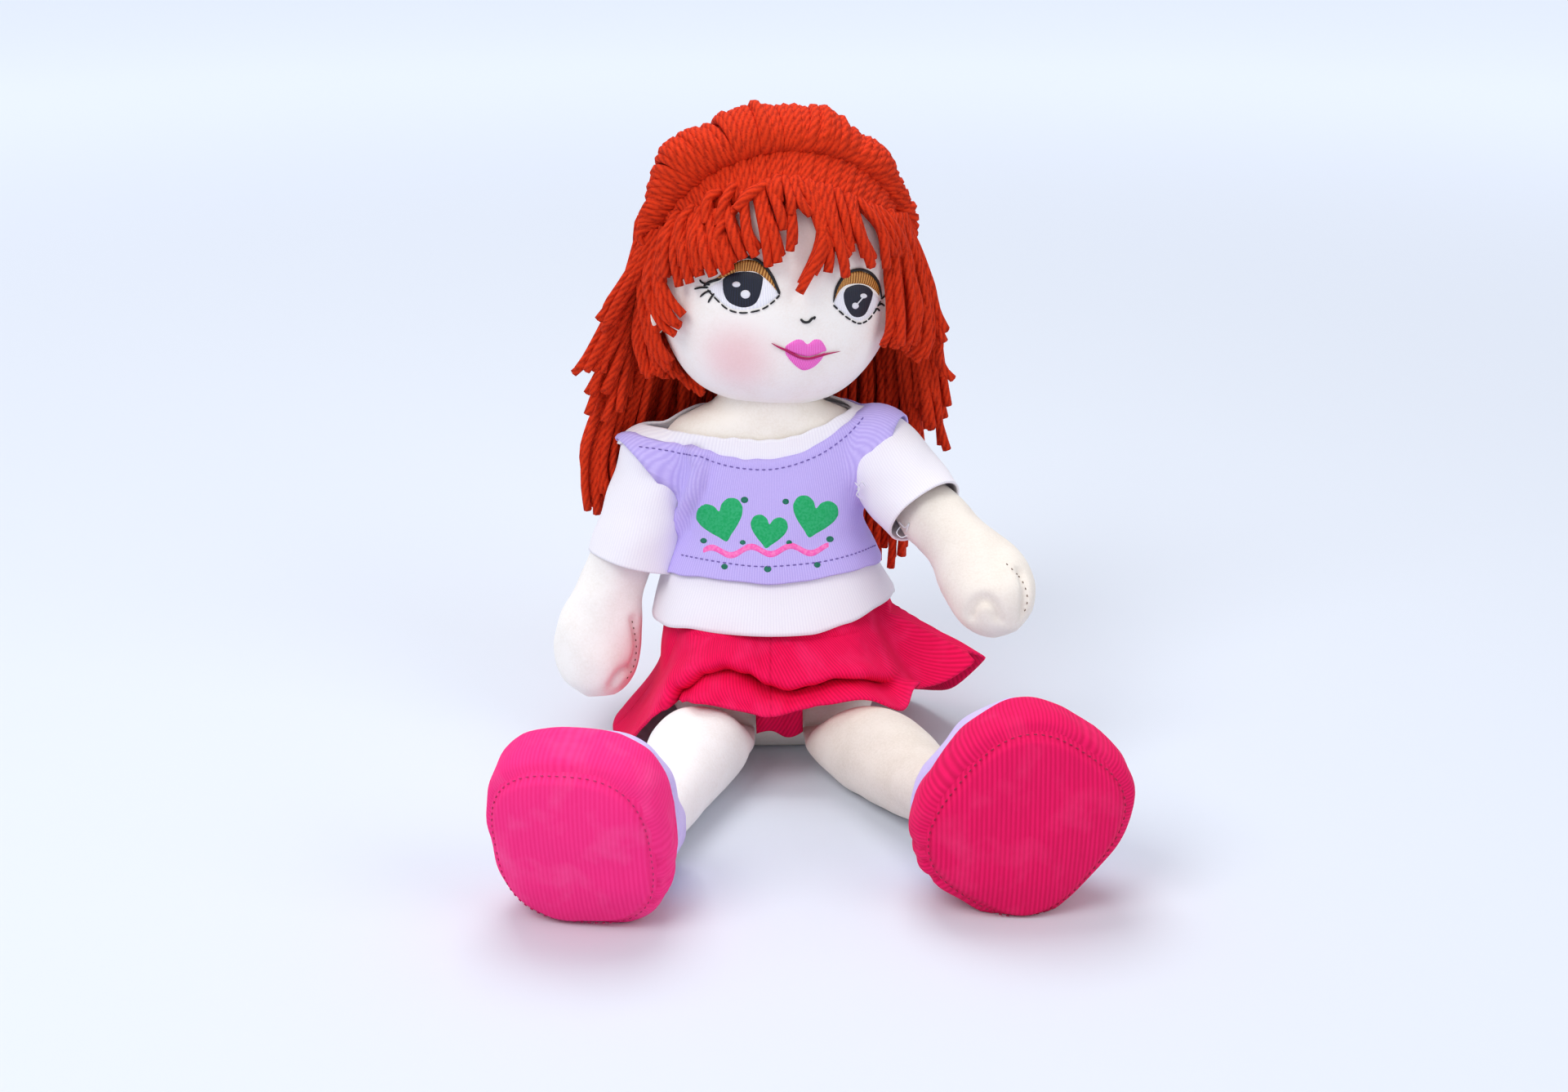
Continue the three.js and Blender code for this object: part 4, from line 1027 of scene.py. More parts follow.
# %% Ears
for name, side in SIDES.items():
    bm = bmesh.new()

    def flap(u, v, side=side):
        angle = 2 * math.pi * u
        reach = math.sin(math.pi * v)
        return Vector((
            0.5 + side * (56.5 - 3 * math.cos(math.pi * v) + 5 * max(reach * math.cos(angle), 0) ** 2),
            -7 - 6.3 * reach * math.cos(angle),
            42 + 9 * reach * math.sin(angle),
        ))

    lay_ball(bm, flap, 24, 12)
    bmesh.ops.transform(bm, matrix=HEAD, verts=bm.verts)
    ear = finish_piece(bm, f"{name}_ear_flap", cream_velour, outward=True)
    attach(ear, "head")
    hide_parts(f"{name}_ear")

# %% [markdown]
# ## The embroidered face
#
# Eyes, nose and lips are machine embroidery: satin stitch fills an area with threads side by side, and a line is a
# row of small stitches. Painting them on as a texture would look flat at the edges. So each filled area is a thin
# raised patch between a lower and an upper outline, and each line a thin cord. The outlines are given where they
# fall in the picture, and a line of sight carries them onto the velour of the face.

# %% Patches and lines of thread
navy_thread = rayon_thread("navy_rayon_thread", "#1A2038", "#080A16")
white_thread = rayon_thread("white_rayon_thread", "#FFFFFF", "#EDECF6")
black_thread = rayon_thread("black_rayon_thread", "#17171C", "#050507")
gold_thread = rayon_thread("gold_lurex_thread", "#EDAE5C", "#84490F", 0.4, 0.3)
magenta_thread = rayon_thread("magenta_rayon_thread", "#FF8AE4", "#F25CC0")
crimson_thread = rayon_thread("crimson_rayon_thread", "#D8126E", "#9C0A4C")


def pixel_line(pixels, t):
    return along([Vector((x, y, 0)) for x, y in pixels], t)


def satin_patch(bm, lower, upper, columns, rows, height, sink=-0.25, onto=None):
    """A raised patch between two outlines in picture pixels; its edges dip into the velour."""
    def thread(u, v):
        a, b = pixel_line(lower, u), pixel_line(upper, u)
        spot = a.lerp(b, v)
        dome = (1 - abs(2 * v - 1) ** 6) * (1 - abs(2 * u - 1) ** 8)
        return (onto or on_face)(spot.x, spot.y, mix(sink, height, dome))
    lay_grid(bm, thread, columns, rows, (20, 14))


def face_line(bm, pixels, radius, lift=0.2, **more):
    thread_line(bm, [on_face(x, y, lift) for x, y in pixels], radius, **more)


def embroider(name, bm, finish):
    piece = finish_piece(bm, name, finish, outward=True)
    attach(piece, "head")
    return piece


# %% [markdown]
# ## The eyes
#
# Each eye is stitched in five parts: a white ground, a gold lid above it, a dark iris that reaches over both,
# small white lights, and the black outline last. What lies over another part stands a little higher, so that
# none flickers through. The left eye is narrower, because the head is turned.

# %% Whites, irises, lids and lights
RIGHT_WHITE_LOW = [(866, 353), (878, 366), (892, 378), (910, 382), (932, 378), (946, 369), (955, 360)]
RIGHT_WHITE_TOP = [(866, 353), (876, 346), (888, 340), (910, 334), (930, 335), (944, 347), (955, 360)]
LEFT_WHITE_LOW = [(1020, 372), (1030, 382), (1042, 391), (1052, 395), (1062, 391), (1071, 380), (1078, 367)]
LEFT_WHITE_TOP = [(1020, 372), (1027, 358), (1036, 352), (1050, 350), (1064, 353), (1072, 359), (1078, 367)]
bm = bmesh.new()
satin_patch(bm, RIGHT_WHITE_LOW, RIGHT_WHITE_TOP, 28, 12, 0.35)
satin_patch(bm, LEFT_WHITE_LOW, LEFT_WHITE_TOP, 24, 12, 0.35)
embroider("eye_whites", bm, white_thread)

bm = bmesh.new()
satin_patch(
    bm, [(885, 342), (886, 360), (893, 373), (909, 379), (924, 375), (931, 362), (935, 340)],
    [(885, 342), (890, 337), (898, 333), (910, 331), (922, 332), (930, 335), (935, 340)], 24, 14, 0.75,
)
satin_patch(
    bm, [(1032, 360), (1034, 374), (1041, 387), (1050, 391), (1059, 387), (1065, 373), (1069, 358)],
    [(1032, 360), (1036, 353), (1042, 349), (1050, 347), (1058, 348), (1065, 352), (1069, 358)], 24, 14, 0.75,
)
embroider("eye_irises", bm, navy_thread)

bm = bmesh.new()
satin_patch(
    bm, [(868, 347), (884, 341), (900, 334), (912, 333), (926, 334), (942, 346), (954, 360)],
    [(868, 345), (880, 338), (898, 323), (914, 317), (930, 321), (944, 337), (954, 359)], 28, 8, 0.6,
)
satin_patch(
    bm, [(1021, 370), (1027, 358), (1036, 350), (1050, 348), (1062, 350), (1072, 357), (1077, 364)],
    [(1021, 368), (1027, 348), (1037, 336), (1052, 331), (1066, 336), (1075, 348), (1077, 362)], 28, 8, 0.6,
)
embroider("gold_eyelids", bm, gold_thread)

bm = bmesh.new()
for spots in ([(902, 348, 5, 4), (913, 360, 6, 6)], [(1056, 362, 4, 3.5), (1046, 374, 4, 4.5)]):
    for x, y, w, h in spots:
        ring = [(x - w * math.cos(a), y + h * math.sin(a)) for a in [k * math.pi / 6 for k in range(7)]]
        satin_patch(bm, ring, [(a, 2 * y - b) for a, b in ring], 10, 6, 1.15, 0.5)
face_line(bm, [(1044, 376), (1051, 368), (1057, 361)], 0.35, 1.1)
embroider("eye_lights", bm, white_thread)

# %% [markdown]
# ## Outlines, lashes and nose
#
# The upper lid has a whole black line, the lower one a dashed line of separate stitches, and the lashes are short
# strokes that thin out to their tips. The nose is one small hook. All are cords of one black thread.

# %% Outlines, dashes, lashes and nose
bm = bmesh.new()
face_line(bm, [(862, 350), (870, 345), (884, 341)], 0.7, 0.5)
face_line(bm, [(898, 321), (914, 315), (930, 320), (944, 336), (955, 361)], 0.75, 0.5, taper=(0.4, 0.9))
face_line(bm, [(1020, 371), (1024, 352), (1036, 335), (1052, 330), (1066, 335), (1075, 348), (1079, 367)], 0.75, 0.5)
for outline in (RIGHT_WHITE_LOW, LEFT_WHITE_LOW):
    dashes = 9
    for k in range(dashes):
        ends = [pixel_line(outline, (k + part) / dashes) for part in (0.08, 0.5, 0.92)]
        face_line(bm, [(p.x, p.y + 1) for p in ends], 0.45, 0.25, rings=8)
for lash in (
    [(870, 349), (860, 346), (857, 342)], [(868, 352), (858, 352), (850, 354)], [(871, 356), (864, 358), (857, 364)],
    [(875, 359), (871, 364), (867, 371)], [(1078, 366), (1083, 362), (1085, 356)],
    [(1074, 374), (1079, 372), (1083, 375)], [(1071, 379), (1074, 378), (1077, 381)],
):
    face_line(bm, lash, 0.5, 0.25, rings=8, taper=(0.9, 0.2))
face_line(bm, [(980, 390), (984, 394), (990, 394), (994, 390), (998, 389)], 0.65, 0.3, rings=14, taper=(0.7, 0.5))
face_line(bm, [(996, 391), (998, 387)], 0.6, 0.3, rings=6)
embroider("black_stitching", bm, black_thread)

# %% [markdown]
# ## The lips
#
# Two patches of magenta satin stitch meet along the mouth, and one crimson line lies over the place where they
# meet and runs out into the cheeks as a smile.

# %% Lips
bm = bmesh.new()
satin_patch(
    bm, [(961, 427), (970, 432), (980, 436), (990, 437), (1000, 435), (1008, 431), (1012, 430)],
    [(961, 424), (968, 419), (976, 415), (983, 416), (989, 421), (997, 415), (1005, 416), (1010, 423), (1012, 428)],
    26, 9, 0.8,
)
satin_patch(
    bm, [(961, 432), (967, 441), (976, 450), (984, 454), (994, 451), (1003, 443), (1010, 433)],
    [(961, 428), (970, 433), (980, 437), (990, 438), (1000, 436), (1006, 433), (1011, 431)], 26, 9, 0.8,
)
embroider("lips", bm, magenta_thread)
bm = bmesh.new()
face_line(
    bm, [(944, 419), (953, 424), (964, 429), (978, 436), (990, 438), (1002, 435), (1014, 432), (1029, 429)],
    0.6, 0.75, taper=(0.25, 0.15),
)
embroider("mouth_line", bm, crimson_thread)

# %% [markdown]
# ## The T-shirt and the vest
#
# Both are jersey, cut and sewn as tubes and pulled over the stuffed body, so they bridge its hollows and hang
# loose at the hem. Like a tailor, this cell first makes a dress form: the torso with two rounded shoulders. Each
# garment is then a grid of threads. From inside the chest, every vertex is sent out along its own line to the
# form, and lifted off it. That is quicker and steadier than dropping a simulated cloth on the doll.

# %% The dress form
CHEST = Vector((-1.8, 8.2, 105))
SHOULDER_TOP = {-1: (Vector((-57, 8, 136)), 19), 1: (Vector((47, 7, 143)), 20)}


def spine(z):
    return Vector((-0.0175 * z, 0.0785 * z, z))


form = bmesh.new()
lay_ball(form, capped(torso_skin, -2, TORSO_RINGS[-1][0]), 72, 60)
bmesh.ops.transform(form, matrix=TORSO, verts=form.verts)
for side, (centre, radius) in SHOULDER_TOP.items():
    bmesh.ops.create_uvsphere(
        form, u_segments=32, v_segments=20, radius=radius, matrix=Matrix.Translation(centre)
    )
dress_form = BVHTree.FromBMesh(form)
form.free()


def out_to_form(start, heading):
    """The outermost place of the dress form on a line from inside the chest."""
    place, _, _, _ = dress_form.ray_cast(start + heading * 260, -heading)
    return place if place else start + heading * 40


def keyed(keys, degrees):
    """A smooth value round the body, from (angle, value) pairs in degrees; 270 is the front, 0 the doll's left."""
    count = len(keys)
    for k in range(count):
        a, b = keys[k], keys[(k + 1) % count]
        span = (b[0] - a[0]) % 360
        gone = (degrees - a[0]) % 360
        if gone <= span:
            return mix(a[1], b[1], ease(0, span, gone))
    return keys[0][1]


def heading_at(angle, tilt):
    """A direction out of the chest: an angle round it and a tilt up from level, in radians."""
    return Vector((math.cos(angle) * math.cos(tilt), math.sin(angle) * math.cos(tilt), math.sin(tilt)))


def worn_cloth(hem, top, lift, tall=100):
    """A tube of cloth from a hem height up to a neckline, given as an elevation seen from inside the chest."""
    bm = bmesh.new()
    chest_row = 0.45

    def thread(u, v):
        angle = 2 * math.pi * u
        degrees = math.degrees(angle)
        if v < chest_row:
            z = mix(hem(degrees), CHEST.z, v / chest_row)
            start, tilt = spine(z), 0.0
        else:
            start, tilt = CHEST, math.radians(top(degrees)) * (v - chest_row) / (1 - chest_row)
        heading = heading_at(angle, tilt)
        place = out_to_form(start, heading)
        return place + heading * lift(degrees, place.z)

    lay_grid(bm, thread, 144, 44, (300, tall))
    sew(bm)
    return bm


# %% [markdown]
# ## Pulling taut, cutting and laying over
#
# Three things are done to cloth on a form. It is pulled taut, which smoothing does, since each vertex moves to
# the middle of its neighbours as tension would have it. It is cut along a curve: the points are flattened so that
# the curve is one plane, cut there, and put back. And it is laid over what is beneath it, with a gap for its own
# thickness, so that no layer shows through another.

# %% What is done to cloth on the form
def pull_taut(bm, rounds, keep_edge=True):
    """Smooths the cloth as tension does; an edge vertex may stay where it is."""
    inner = [v for v in bm.verts if not (keep_edge and v.is_boundary)]
    for _ in range(rounds):
        bmesh.ops.smooth_vert(bm, verts=inner, factor=0.5, use_axis_x=True, use_axis_y=True, use_axis_z=True)


def cut_away(bm, keep):
    """Cuts the cloth along the curve where keep(point) is 0. The points are flattened so that one plane cuts it."""
    store = bm.verts.layers.float_vector.new("place")
    for vertex in bm.verts:
        vertex[store] = vertex.co
        value = keep(vertex.co)
        vertex.co = Vector((value, vertex.co.y + 0.001 * vertex.co.x, vertex.co.z))
    bmesh.ops.bisect_plane(
        bm, geom=bm.verts[:] + bm.edges[:] + bm.faces[:], dist=1e-5, plane_co=(0, 0, 0), plane_no=(1, 0, 0),
        clear_inner=True,
    )
    for vertex in bm.verts:
        vertex.co = vertex[store]
    bm.verts.layers.float_vector.remove(store)


def lie_over(bm, under, gap):
    """Sends each vertex out from the chest until it lies a gap above the cloth beneath it."""
    for vertex in bm.verts:
        z = vertex.co.z
        middle = CHEST if z > CHEST.z else spine(z)
        heading = (vertex.co - middle).normalized()
        place, _, _, _ = under.ray_cast(middle + heading * 260, -heading)
        if place and (vertex.co - middle).length < (place - middle).length + gap:
            vertex.co = place + heading * gap


# %% [markdown]
# ## The T-shirt
#
# The T-shirt is white jersey, of which the hem and the sleeves show. Its hem and neckline are given as heights
# all round the body, taken from where their lines run in the picture, with smooth steps between them. The cloth
# lies close to the chest and stands off it towards the hem, where it hangs over the skirt. Armholes are cut last.

# %% T-shirt
def hang(z):
    """How freely the cloth hangs at a height: 0 on the chest, 1 below the ribs."""
    return 1 - ease(88, 112, z)


def shirt_lift(degrees, z):
    flare = keyed([(0, 7), (90, 8), (180, 3), (225, 5), (270, 8), (330, 6)], degrees)
    return 1.0 + 5.5 * hang(z) + flare * (1 - ease(66, 92, z))


def shirt_hem(degrees):
    return keyed([
        (0, 71), (90, 66), (170, 62), (190, 63), (210, 65), (230, 68), (270, 68.5), (290, 68.5), (310, 71),
        (330, 73.5), (350, 73),
    ], degrees)


def band_top(degrees):
    return keyed([
        (0, 56), (60, 62), (90, 62), (140, 54), (180, 39), (190, 46.5), (200, 50.5), (210, 54.5), (220, 58),
        (235, 62.3), (250, 64.5), (270, 65.7), (290, 65), (310, 63), (330, 60.2), (350, 57.7),
    ], degrees)


ARMHOLE = {
    -1: (Vector((-73, 0, 150)), Vector((-0.75, -0.3, -0.58)).normalized(), 118),
    1: (Vector((60, 0, 160)), Vector((0.93, -0.32, -0.16)).normalized(), 116),
}


def clear_of_arms(p, ease_in=0.0):
    """Above 0 where cloth stays, below 0 past either armhole."""
    return min(
        max(-((p - tip).dot(away) + ease_in), armpit - p.z) for tip, away, armpit in ARMHOLE.values()
    )


white_jersey = jersey("white_cotton_jersey", "#F8F5FA", "#F1EDF5", 0.08)
bm = worn_cloth(shirt_hem, lambda d: band_top(d) - 3, shirt_lift)
pull_taut(bm, 12)
cut_away(bm, lambda p: clear_of_arms(p, 3))
ripple(bm, 22, 0.9, 13)
shirt_tree = BVHTree.FromBMesh(bm)
shirt = finish_piece(bm, "tshirt_body", white_jersey, merge=False)
thicken(shirt, 1.0)
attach(shirt, "torso")
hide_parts("shirt_body")

# %% [markdown]
# ## The neck band
#
# A folded strip of the same jersey is sewn round the neckline. It is a narrow grid on the same form, a little
# domed across its width because it is double, and it reaches under the vest's edge.

# %% Neck band
def neck_strip(u, v):
    angle = 2 * math.pi * u
    heading = heading_at(angle, math.radians(band_top(math.degrees(angle)) + mix(-11, 1, v)))
    return out_to_form(CHEST, heading) + heading * (2.2 + 0.6 * math.sin(math.pi * v))


bm = bmesh.new()
lay_grid(bm, neck_strip, 144, 8, (200, 12))
sew(bm)
pull_taut(bm, 4, keep_edge=False)
neck_band = finish_piece(bm, "neck_band", white_jersey, merge=False)
thicken(neck_band, 1.3)
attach(neck_band, "torso")
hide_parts("shirt_neck_band")

# %% [markdown]
# ## The vest
#
# The lavender vest is pulled over the T-shirt, and it is a little shorter. It is made the same way, lifted by one
# more thickness of cloth, and then laid over the T-shirt and the form until nothing shows through. Beside the
# doll's right arm the cloth bunches into one fold with a crease at its foot. Both follow the line that they have
# in the picture, one as a raised ridge and one as a pressed groove.

# %% Vest
lavender_jersey = jersey("lavender_cotton_jersey", "#CDBEF8", "#BDACEF", 0.25)


def vest_lift(degrees, z):
    return shirt_lift(degrees, z) + 2.6


def vest_hem(degrees):
    return keyed([
        (0, 89), (90, 90), (170, 84), (190, 85), (210, 89.5), (230, 92), (250, 92), (270, 91), (290, 92), (310, 93),
        (330, 92.5), (350, 89.5),
    ], degrees)


def vest_top(degrees):
    return keyed([
        (0, 52.7), (60, 57), (90, 57), (140, 48), (176, 31), (190, 38), (200, 45.5), (210, 49.5), (220, 52.2),
        (240, 55.7), (260, 58.2), (285, 58.5), (310, 57.2), (330, 55.7), (350, 54.2),
    ], degrees)


bm = worn_cloth(vest_hem, vest_top, vest_lift, tall=80)
pull_taut(bm, 12)
lie_over(bm, dress_form, 4.0)
pull_taut(bm, 2)
lie_over(bm, dress_form, 4.0)
cut_away(bm, clear_of_arms)
ripple(bm, 22, 0.9, 13)
lie_over(bm, shirt_tree, 1.6)
lie_over(bm, dress_form, 4.0)
bunched = BVHTree.FromBMesh(bm)
FOLD = [(852, 556), (857, 574), (852, 596), (842, 620), (836, 645)]
CREASE = [(866, 562), (870, 576), (864, 598), (853, 622), (846, 648)]
for pixels, width, depth in ((FOLD, 3.4, -5.5), (CREASE, 1.8, 1.3)):
    dent(bm, [bunched.ray_cast(EYE, sight(px, py))[0] for px, py in pixels], width, depth, lambda p: p.y < 5)
vest_tree = BVHTree.FromBMesh(bm)
vest = finish_piece(bm, "vest_top", lavender_jersey, merge=False)
thicken(vest, 1.0)
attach(vest, "torso")
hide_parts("vest")

# %% [markdown]
# ## The sleeves
#
# The sleeves are short loose tubes, wider than the arms in them, with a rounded head that sits under the vest's
# armhole. The head closes the tube like a dome, so no gap opens when the arm is lifted. A sleeve is sewn to the
# body at one end and to the arm at the other.

# %% Sleeves
SLEEVE = {
    -1: (((-57, 8, 141), (-59, 7, 128), (-64, 2, 108), (-69, -1, 90)), (17, 19, 20.3, 21)),
    1: (((50, 6, 144), (57, -2, 138), (65, -11, 129), (72.5, -20, 121.5)), (18, 19.5, 20, 19.2)),
}
SLEEVE_HEAD = 0.28


def tube_point(path, radii, u, v):
    """A point on a tube whose middle runs along a path."""
    here = along(path, v)
    ahead = (along(path, min(v + 0.02, 1)) - along(path, max(v - 0.02, 0))).normalized()
    lead = Vector((1, 0, 0))
    across = (lead - ahead * lead.dot(ahead)).normalized()
    other = ahead.cross(across)
    radius = along([Vector((r, 0, 0)) for r in radii], v).x
    angle = 2 * math.pi * u
    return here + (across * math.cos(angle) + other * math.sin(angle)) * radius


for name, side in SIDES.items():
    path, radii = [Vector(place) for place in SLEEVE[side][0]], SLEEVE[side][1]

    def sleeve_thread(u, v, path=path, radii=radii):
        if v < SLEEVE_HEAD:
            turn = (1 - v / SLEEVE_HEAD) * math.pi / 2
            base = tube_point(path, radii, u, 0)
            centre = along(path, 0)
            ahead = (along(path, 0.02) - centre).normalized()
            return centre + (base - centre) * math.cos(turn) - ahead * radii[0] * 0.75 * math.sin(turn)
        return tube_point(path, radii, u, (v - SLEEVE_HEAD) / (1 - SLEEVE_HEAD))

    bm = bmesh.new()
    lay_grid(bm, sleeve_thread, 72, 40, (130, 75))
    sew(bm)
    ripple(bm, 16, 1.3, 17 + side)
    sleeve = finish_piece(bm, f"{name}_sleeve_tube", white_jersey, merge=False)
    thicken(sleeve, 1.1)
    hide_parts(f"{name}_sleeve")
    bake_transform(sleeve)

# %% [markdown]
# ## The skirt
#
# The skirt is a full circle of needlecord on an elastic waist. It lies over both thighs, where it folds back on
# itself, touches the floor on one side and stands out in a flute on the other. A simulation could drop a circle
# of cloth on the legs, but it would not find these folds. So the hem is given as places all round, and the cloth
# runs from waist to hem in a curve, held off the body below it and kept under the T-shirt's hem above.

# %% Waist, hem and the way between them
HEM = [
    (0.02, (90, 8, 18)), (0.1, (66, 36, 5)), (0.18, (36, 51, 3)), (0.25, (0, 54, 3)), (0.32, (-36, 50, 3)),
    (0.4, (-64, 32, 3)), (0.47, (-79, 6, 3)), (0.52, (-78, -17, 2)), (0.57, (-68, -44, 14)), (0.62, (-56, -66, 36)),
    (0.67, (-38, -76, 47.5)), (0.71, (-18, -75, 42.5)), (0.75, (-1, -72, 38.5)), (0.8, (22, -74, 45.5)),
    (0.84, (44, -73, 47)), (0.88, (61, -64, 37.5)), (0.905, (66.5, -48, 41)), (0.93, (72, -34, 36)),
    (0.95, (86, -26, 37)), (0.975, (106, -12, 45)),
]
SKIRT_WAIST = 90
SKIRT_ROUND = 560
skirt_waist = pushed(torso_skin, 2.5)


def hem_point(u):
    """The hem's place at u, from 0 to 1 round the doll from its left side, by its back and right to its front."""
    count = len(HEM)
    place = u % 1
    if place < HEM[0][0]:
        place += 1
    for k in range(count):
        start = HEM[k][0]
        stop = HEM[k + 1][0] if k + 1 < count else HEM[0][0] + 1
        if start <= place <= stop:
            four = [Vector(HEM[(k + i) % count][1]) for i in (-1, 0, 1, 2)]
            return through_four(*four, (place - start) / (stop - start))
    return Vector(HEM[0][1])


def reach_of(point):
    return math.hypot(point.x, point.y)


def drawn_to(point, reach):
    """The point moved straight in or out, to a reach from the doll's middle line."""
    scale = reach_of(point)
    return Vector((point.x * reach / scale, point.y * reach / scale, point.z))


def skirt_point(u, v):
    """The cloth at u round the doll and v from waist to hem: off the body, and under the T-shirt's hem."""
    top = TORSO @ skirt_waist(u, SKIRT_WAIST)
    hem = hem_point(u)
    spread = v ** (1.8 + 1.6 * math.exp(-((((u % 1) - 0.51) / 0.08) ** 2)))
    point = Vector((mix(top.x, hem.x, spread), mix(top.y, hem.y, spread), mix(top.z, hem.z, v)))
    least = reach_of(TORSO @ pushed(torso_skin, 2.6)(u, max(point.z, 16)))
    if reach_of(point) < least and point.z > 8:
        point = drawn_to(point, least)
    z = max(point.z, 66)
    cover = TORSO @ pushed(torso_skin, shirt_lift(0, z) - 3.0)(u, z)
    limit = reach_of(cover) + 2 * max(65 - point.z, 0)
    return drawn_to(point, limit) if reach_of(point) > limit else point


def skirt_panel(bm, start, stop, columns):
    def thread(u, v):
        return skirt_point(mix(start, stop, u), v)
    lay_grid(bm, thread, columns, 64, ((stop - start) * SKIRT_ROUND, 100))


def slant_wales(bm):
    """Turns the needlecord's UV map, because the skirt's ribs run aslant."""
    turn = Matrix.Rotation(math.radians(28), 2)
    layer = bm.loops.layers.uv.verify()
    for face in bm.faces:
        for loop in face.loops:
            loop[layer].uv = turn @ loop[layer].uv


print("the hem runs", round(sum((hem_point(k / 200) - hem_point((k + 1) / 200)).length for k in range(200))), "mm")

# %% [markdown]
# ## The front of the skirt
#
# At the front the cloth lies doubled: it runs down over the belly, turns under in a soft roll along the thighs,
# and comes out again as a ruffle. The fold's line is taken from the picture, and each vertex moves out or in by
# how far above or below that line it falls. The front is made in one and cut in two halves at the middle, one
# half over each thigh.

# %% Front panels
FOLD_LINE = [
    (790, 900), (812, 868), (835, 840), (862, 822), (890, 815), (915, 822), (940, 838), (965, 844), (995, 838),
    (1025, 829), (1055, 829), (1085, 833), (1105, 836),
]
MM_PER_PIXEL = 0.39


def fold_height(px):
    """The picture row of the fold over the thighs, at a picture column, or None beside the fold."""
    for (x0, y0), (x1, y1) in zip(FOLD_LINE, FOLD_LINE[1:]):
        if x0 < px <= x1 and px < FOLD_LINE[-1][0]:
            return mix(y0, y1, ease(x0, x1, px))
    return None


def bump_at(gap, middle, wide):
    return math.exp(-(((gap - middle) / wide) ** 2))


def fold_over_thighs(bm):
    moves = []
    for vertex in bm.verts:
        if vertex.co.y > -18:
            continue
        px, py = pixel_of(vertex.co)
        line = fold_height(px)
        if line is None:
            continue
        gap = (line - py) * MM_PER_PIXEL
        ends = ease(790, 830, px) * (1 - ease(1075, 1105, px))
        roll, tuck, ruffle = 8.0 * bump_at(gap, 5.5, 6), -12.0 * bump_at(gap, -4, 4), 3.0 * bump_at(gap, -12.5, 4)
        out = Vector((vertex.co.x * 0.4, vertex.co.y, 8)).normalized()
        moves.append((vertex, out * (roll + tuck + ruffle) * ends))
    for vertex, move in moves:
        vertex.co += move


crimson_cord = needlecord("crimson_needlecord", "#FD0858", "#D80245", 1.75, "#FF3478")
SIDE_FOLD = [Vector((62, -52, 74)), Vector((64, -55, 62)), Vector((67, -53, 50)), Vector((68, -47, 41))]
front = bmesh.new()
skirt_panel(front, 0.5, 1.0, 180)
fold_over_thighs(front)
dent(front, SIDE_FOLD, 4.0, 5.0)
ripple(front, 20, 1.2, 21)
rest_on_floor(front, 0.5)
for name, sign in (("right", -1), ("left", 1)):
    bm = front.copy()
    layer = bm.loops.layers.uv.verify()
    away = [
        face for face in bm.faces
        if (sum(loop[layer].uv.x for loop in face.loops) / len(face.loops) - 0.25 * SKIRT_ROUND) * sign < 0
    ]
    bmesh.ops.delete(bm, geom=away, context="FACES")
    slant_wales(bm)
    panel = finish_piece(bm, f"skirt_front_{name}", crimson_cord, merge=False)
    thicken(panel, 1.3, -1)
    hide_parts("skirt_front")
    side = SIDES[name]
    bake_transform(panel)

# %% [markdown]
# ## The back of the skirt
#
# The back panel falls to the floor and spreads on it. It lies on the seat and on nothing that moves, so it goes
# with the torso. It is the same cloth from the same function, over the other half of the hem.

# %% Back panel
bm = bmesh.new()
skirt_panel(bm, 0.0, 0.5, 150)
ripple(bm, 20, 1.2, 21)
slant_wales(bm)
rest_on_floor(bm, 0.5)
back_panel = finish_piece(bm, "skirt_back_panel", crimson_cord, merge=False)
thicken(back_panel, 1.3, -1)
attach(back_panel, "torso")
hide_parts("skirt_back")

# %% [markdown]
# ## The tucked end, and the elastic
#
# A small end of the skirt shows between the thighs, where it has been pushed under when the doll was set down. It
# is a scrap of the same cord, a little wavy. Inside the waist runs a knitted elastic tape, out of sight but real:
# it is what gathers the skirt and holds it up.

# %% Tucked end and waist elastic
def tucked_end(u, v):
    low = 17 + 2 * math.sin(u * 7)
    return Vector((
        mix(-8, 13.5, u), -43.5 - 2.0 * math.sin(math.pi * v) - 1.2 * math.sin(u * 9), mix(low, 36, v)
    ))


bm = bmesh.new()
lay_grid(bm, tucked_end, 36, 20, (22, 20))
slant_wales(bm)
tail = finish_piece(bm, "skirt_tucked_end", crimson_cord, merge=False)
thicken(tail, 1.3)
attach(tail, "torso")

knitted_elastic = jersey("white_knitted_elastic", "#F4F4F4", "#DCDCDC", 0.6)
bm = bmesh.new()
tape = pushed(torso_skin, 0.8)
lay_grid(bm, lambda u, v: TORSO @ tape(u, mix(SKIRT_WAIST - 8, SKIRT_WAIST, v)), 120, 4, (270, 8))
sew(bm)
elastic = finish_piece(bm, "waist_tape", knitted_elastic, merge=False)
thicken(elastic, 1.2)
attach(elastic, "torso")
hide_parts("waist_elastic")

# %% [markdown]
# ## The hair
#
# The hair is thick acrylic yarn. A roll of loops lies over the crown like a headband. Below it a band of yarn is
# sewn flat to the head, and its ends hang free as a fringe. More yarn hangs at both sides and down the back.
# Blender's hair tools make fine fibres; this yarn is few and thick, so each strand is one small tube laid along a
# smooth path, and its twist is in the finish, carried by the UV map. A first helper gives places over the head.

# %% Directions over the head, and one strand of yarn
HAIR_CENTRE = Vector((0.5, -12, 78.5))
YARN = 2.1
PLIES = 4
TWIST = 5.5


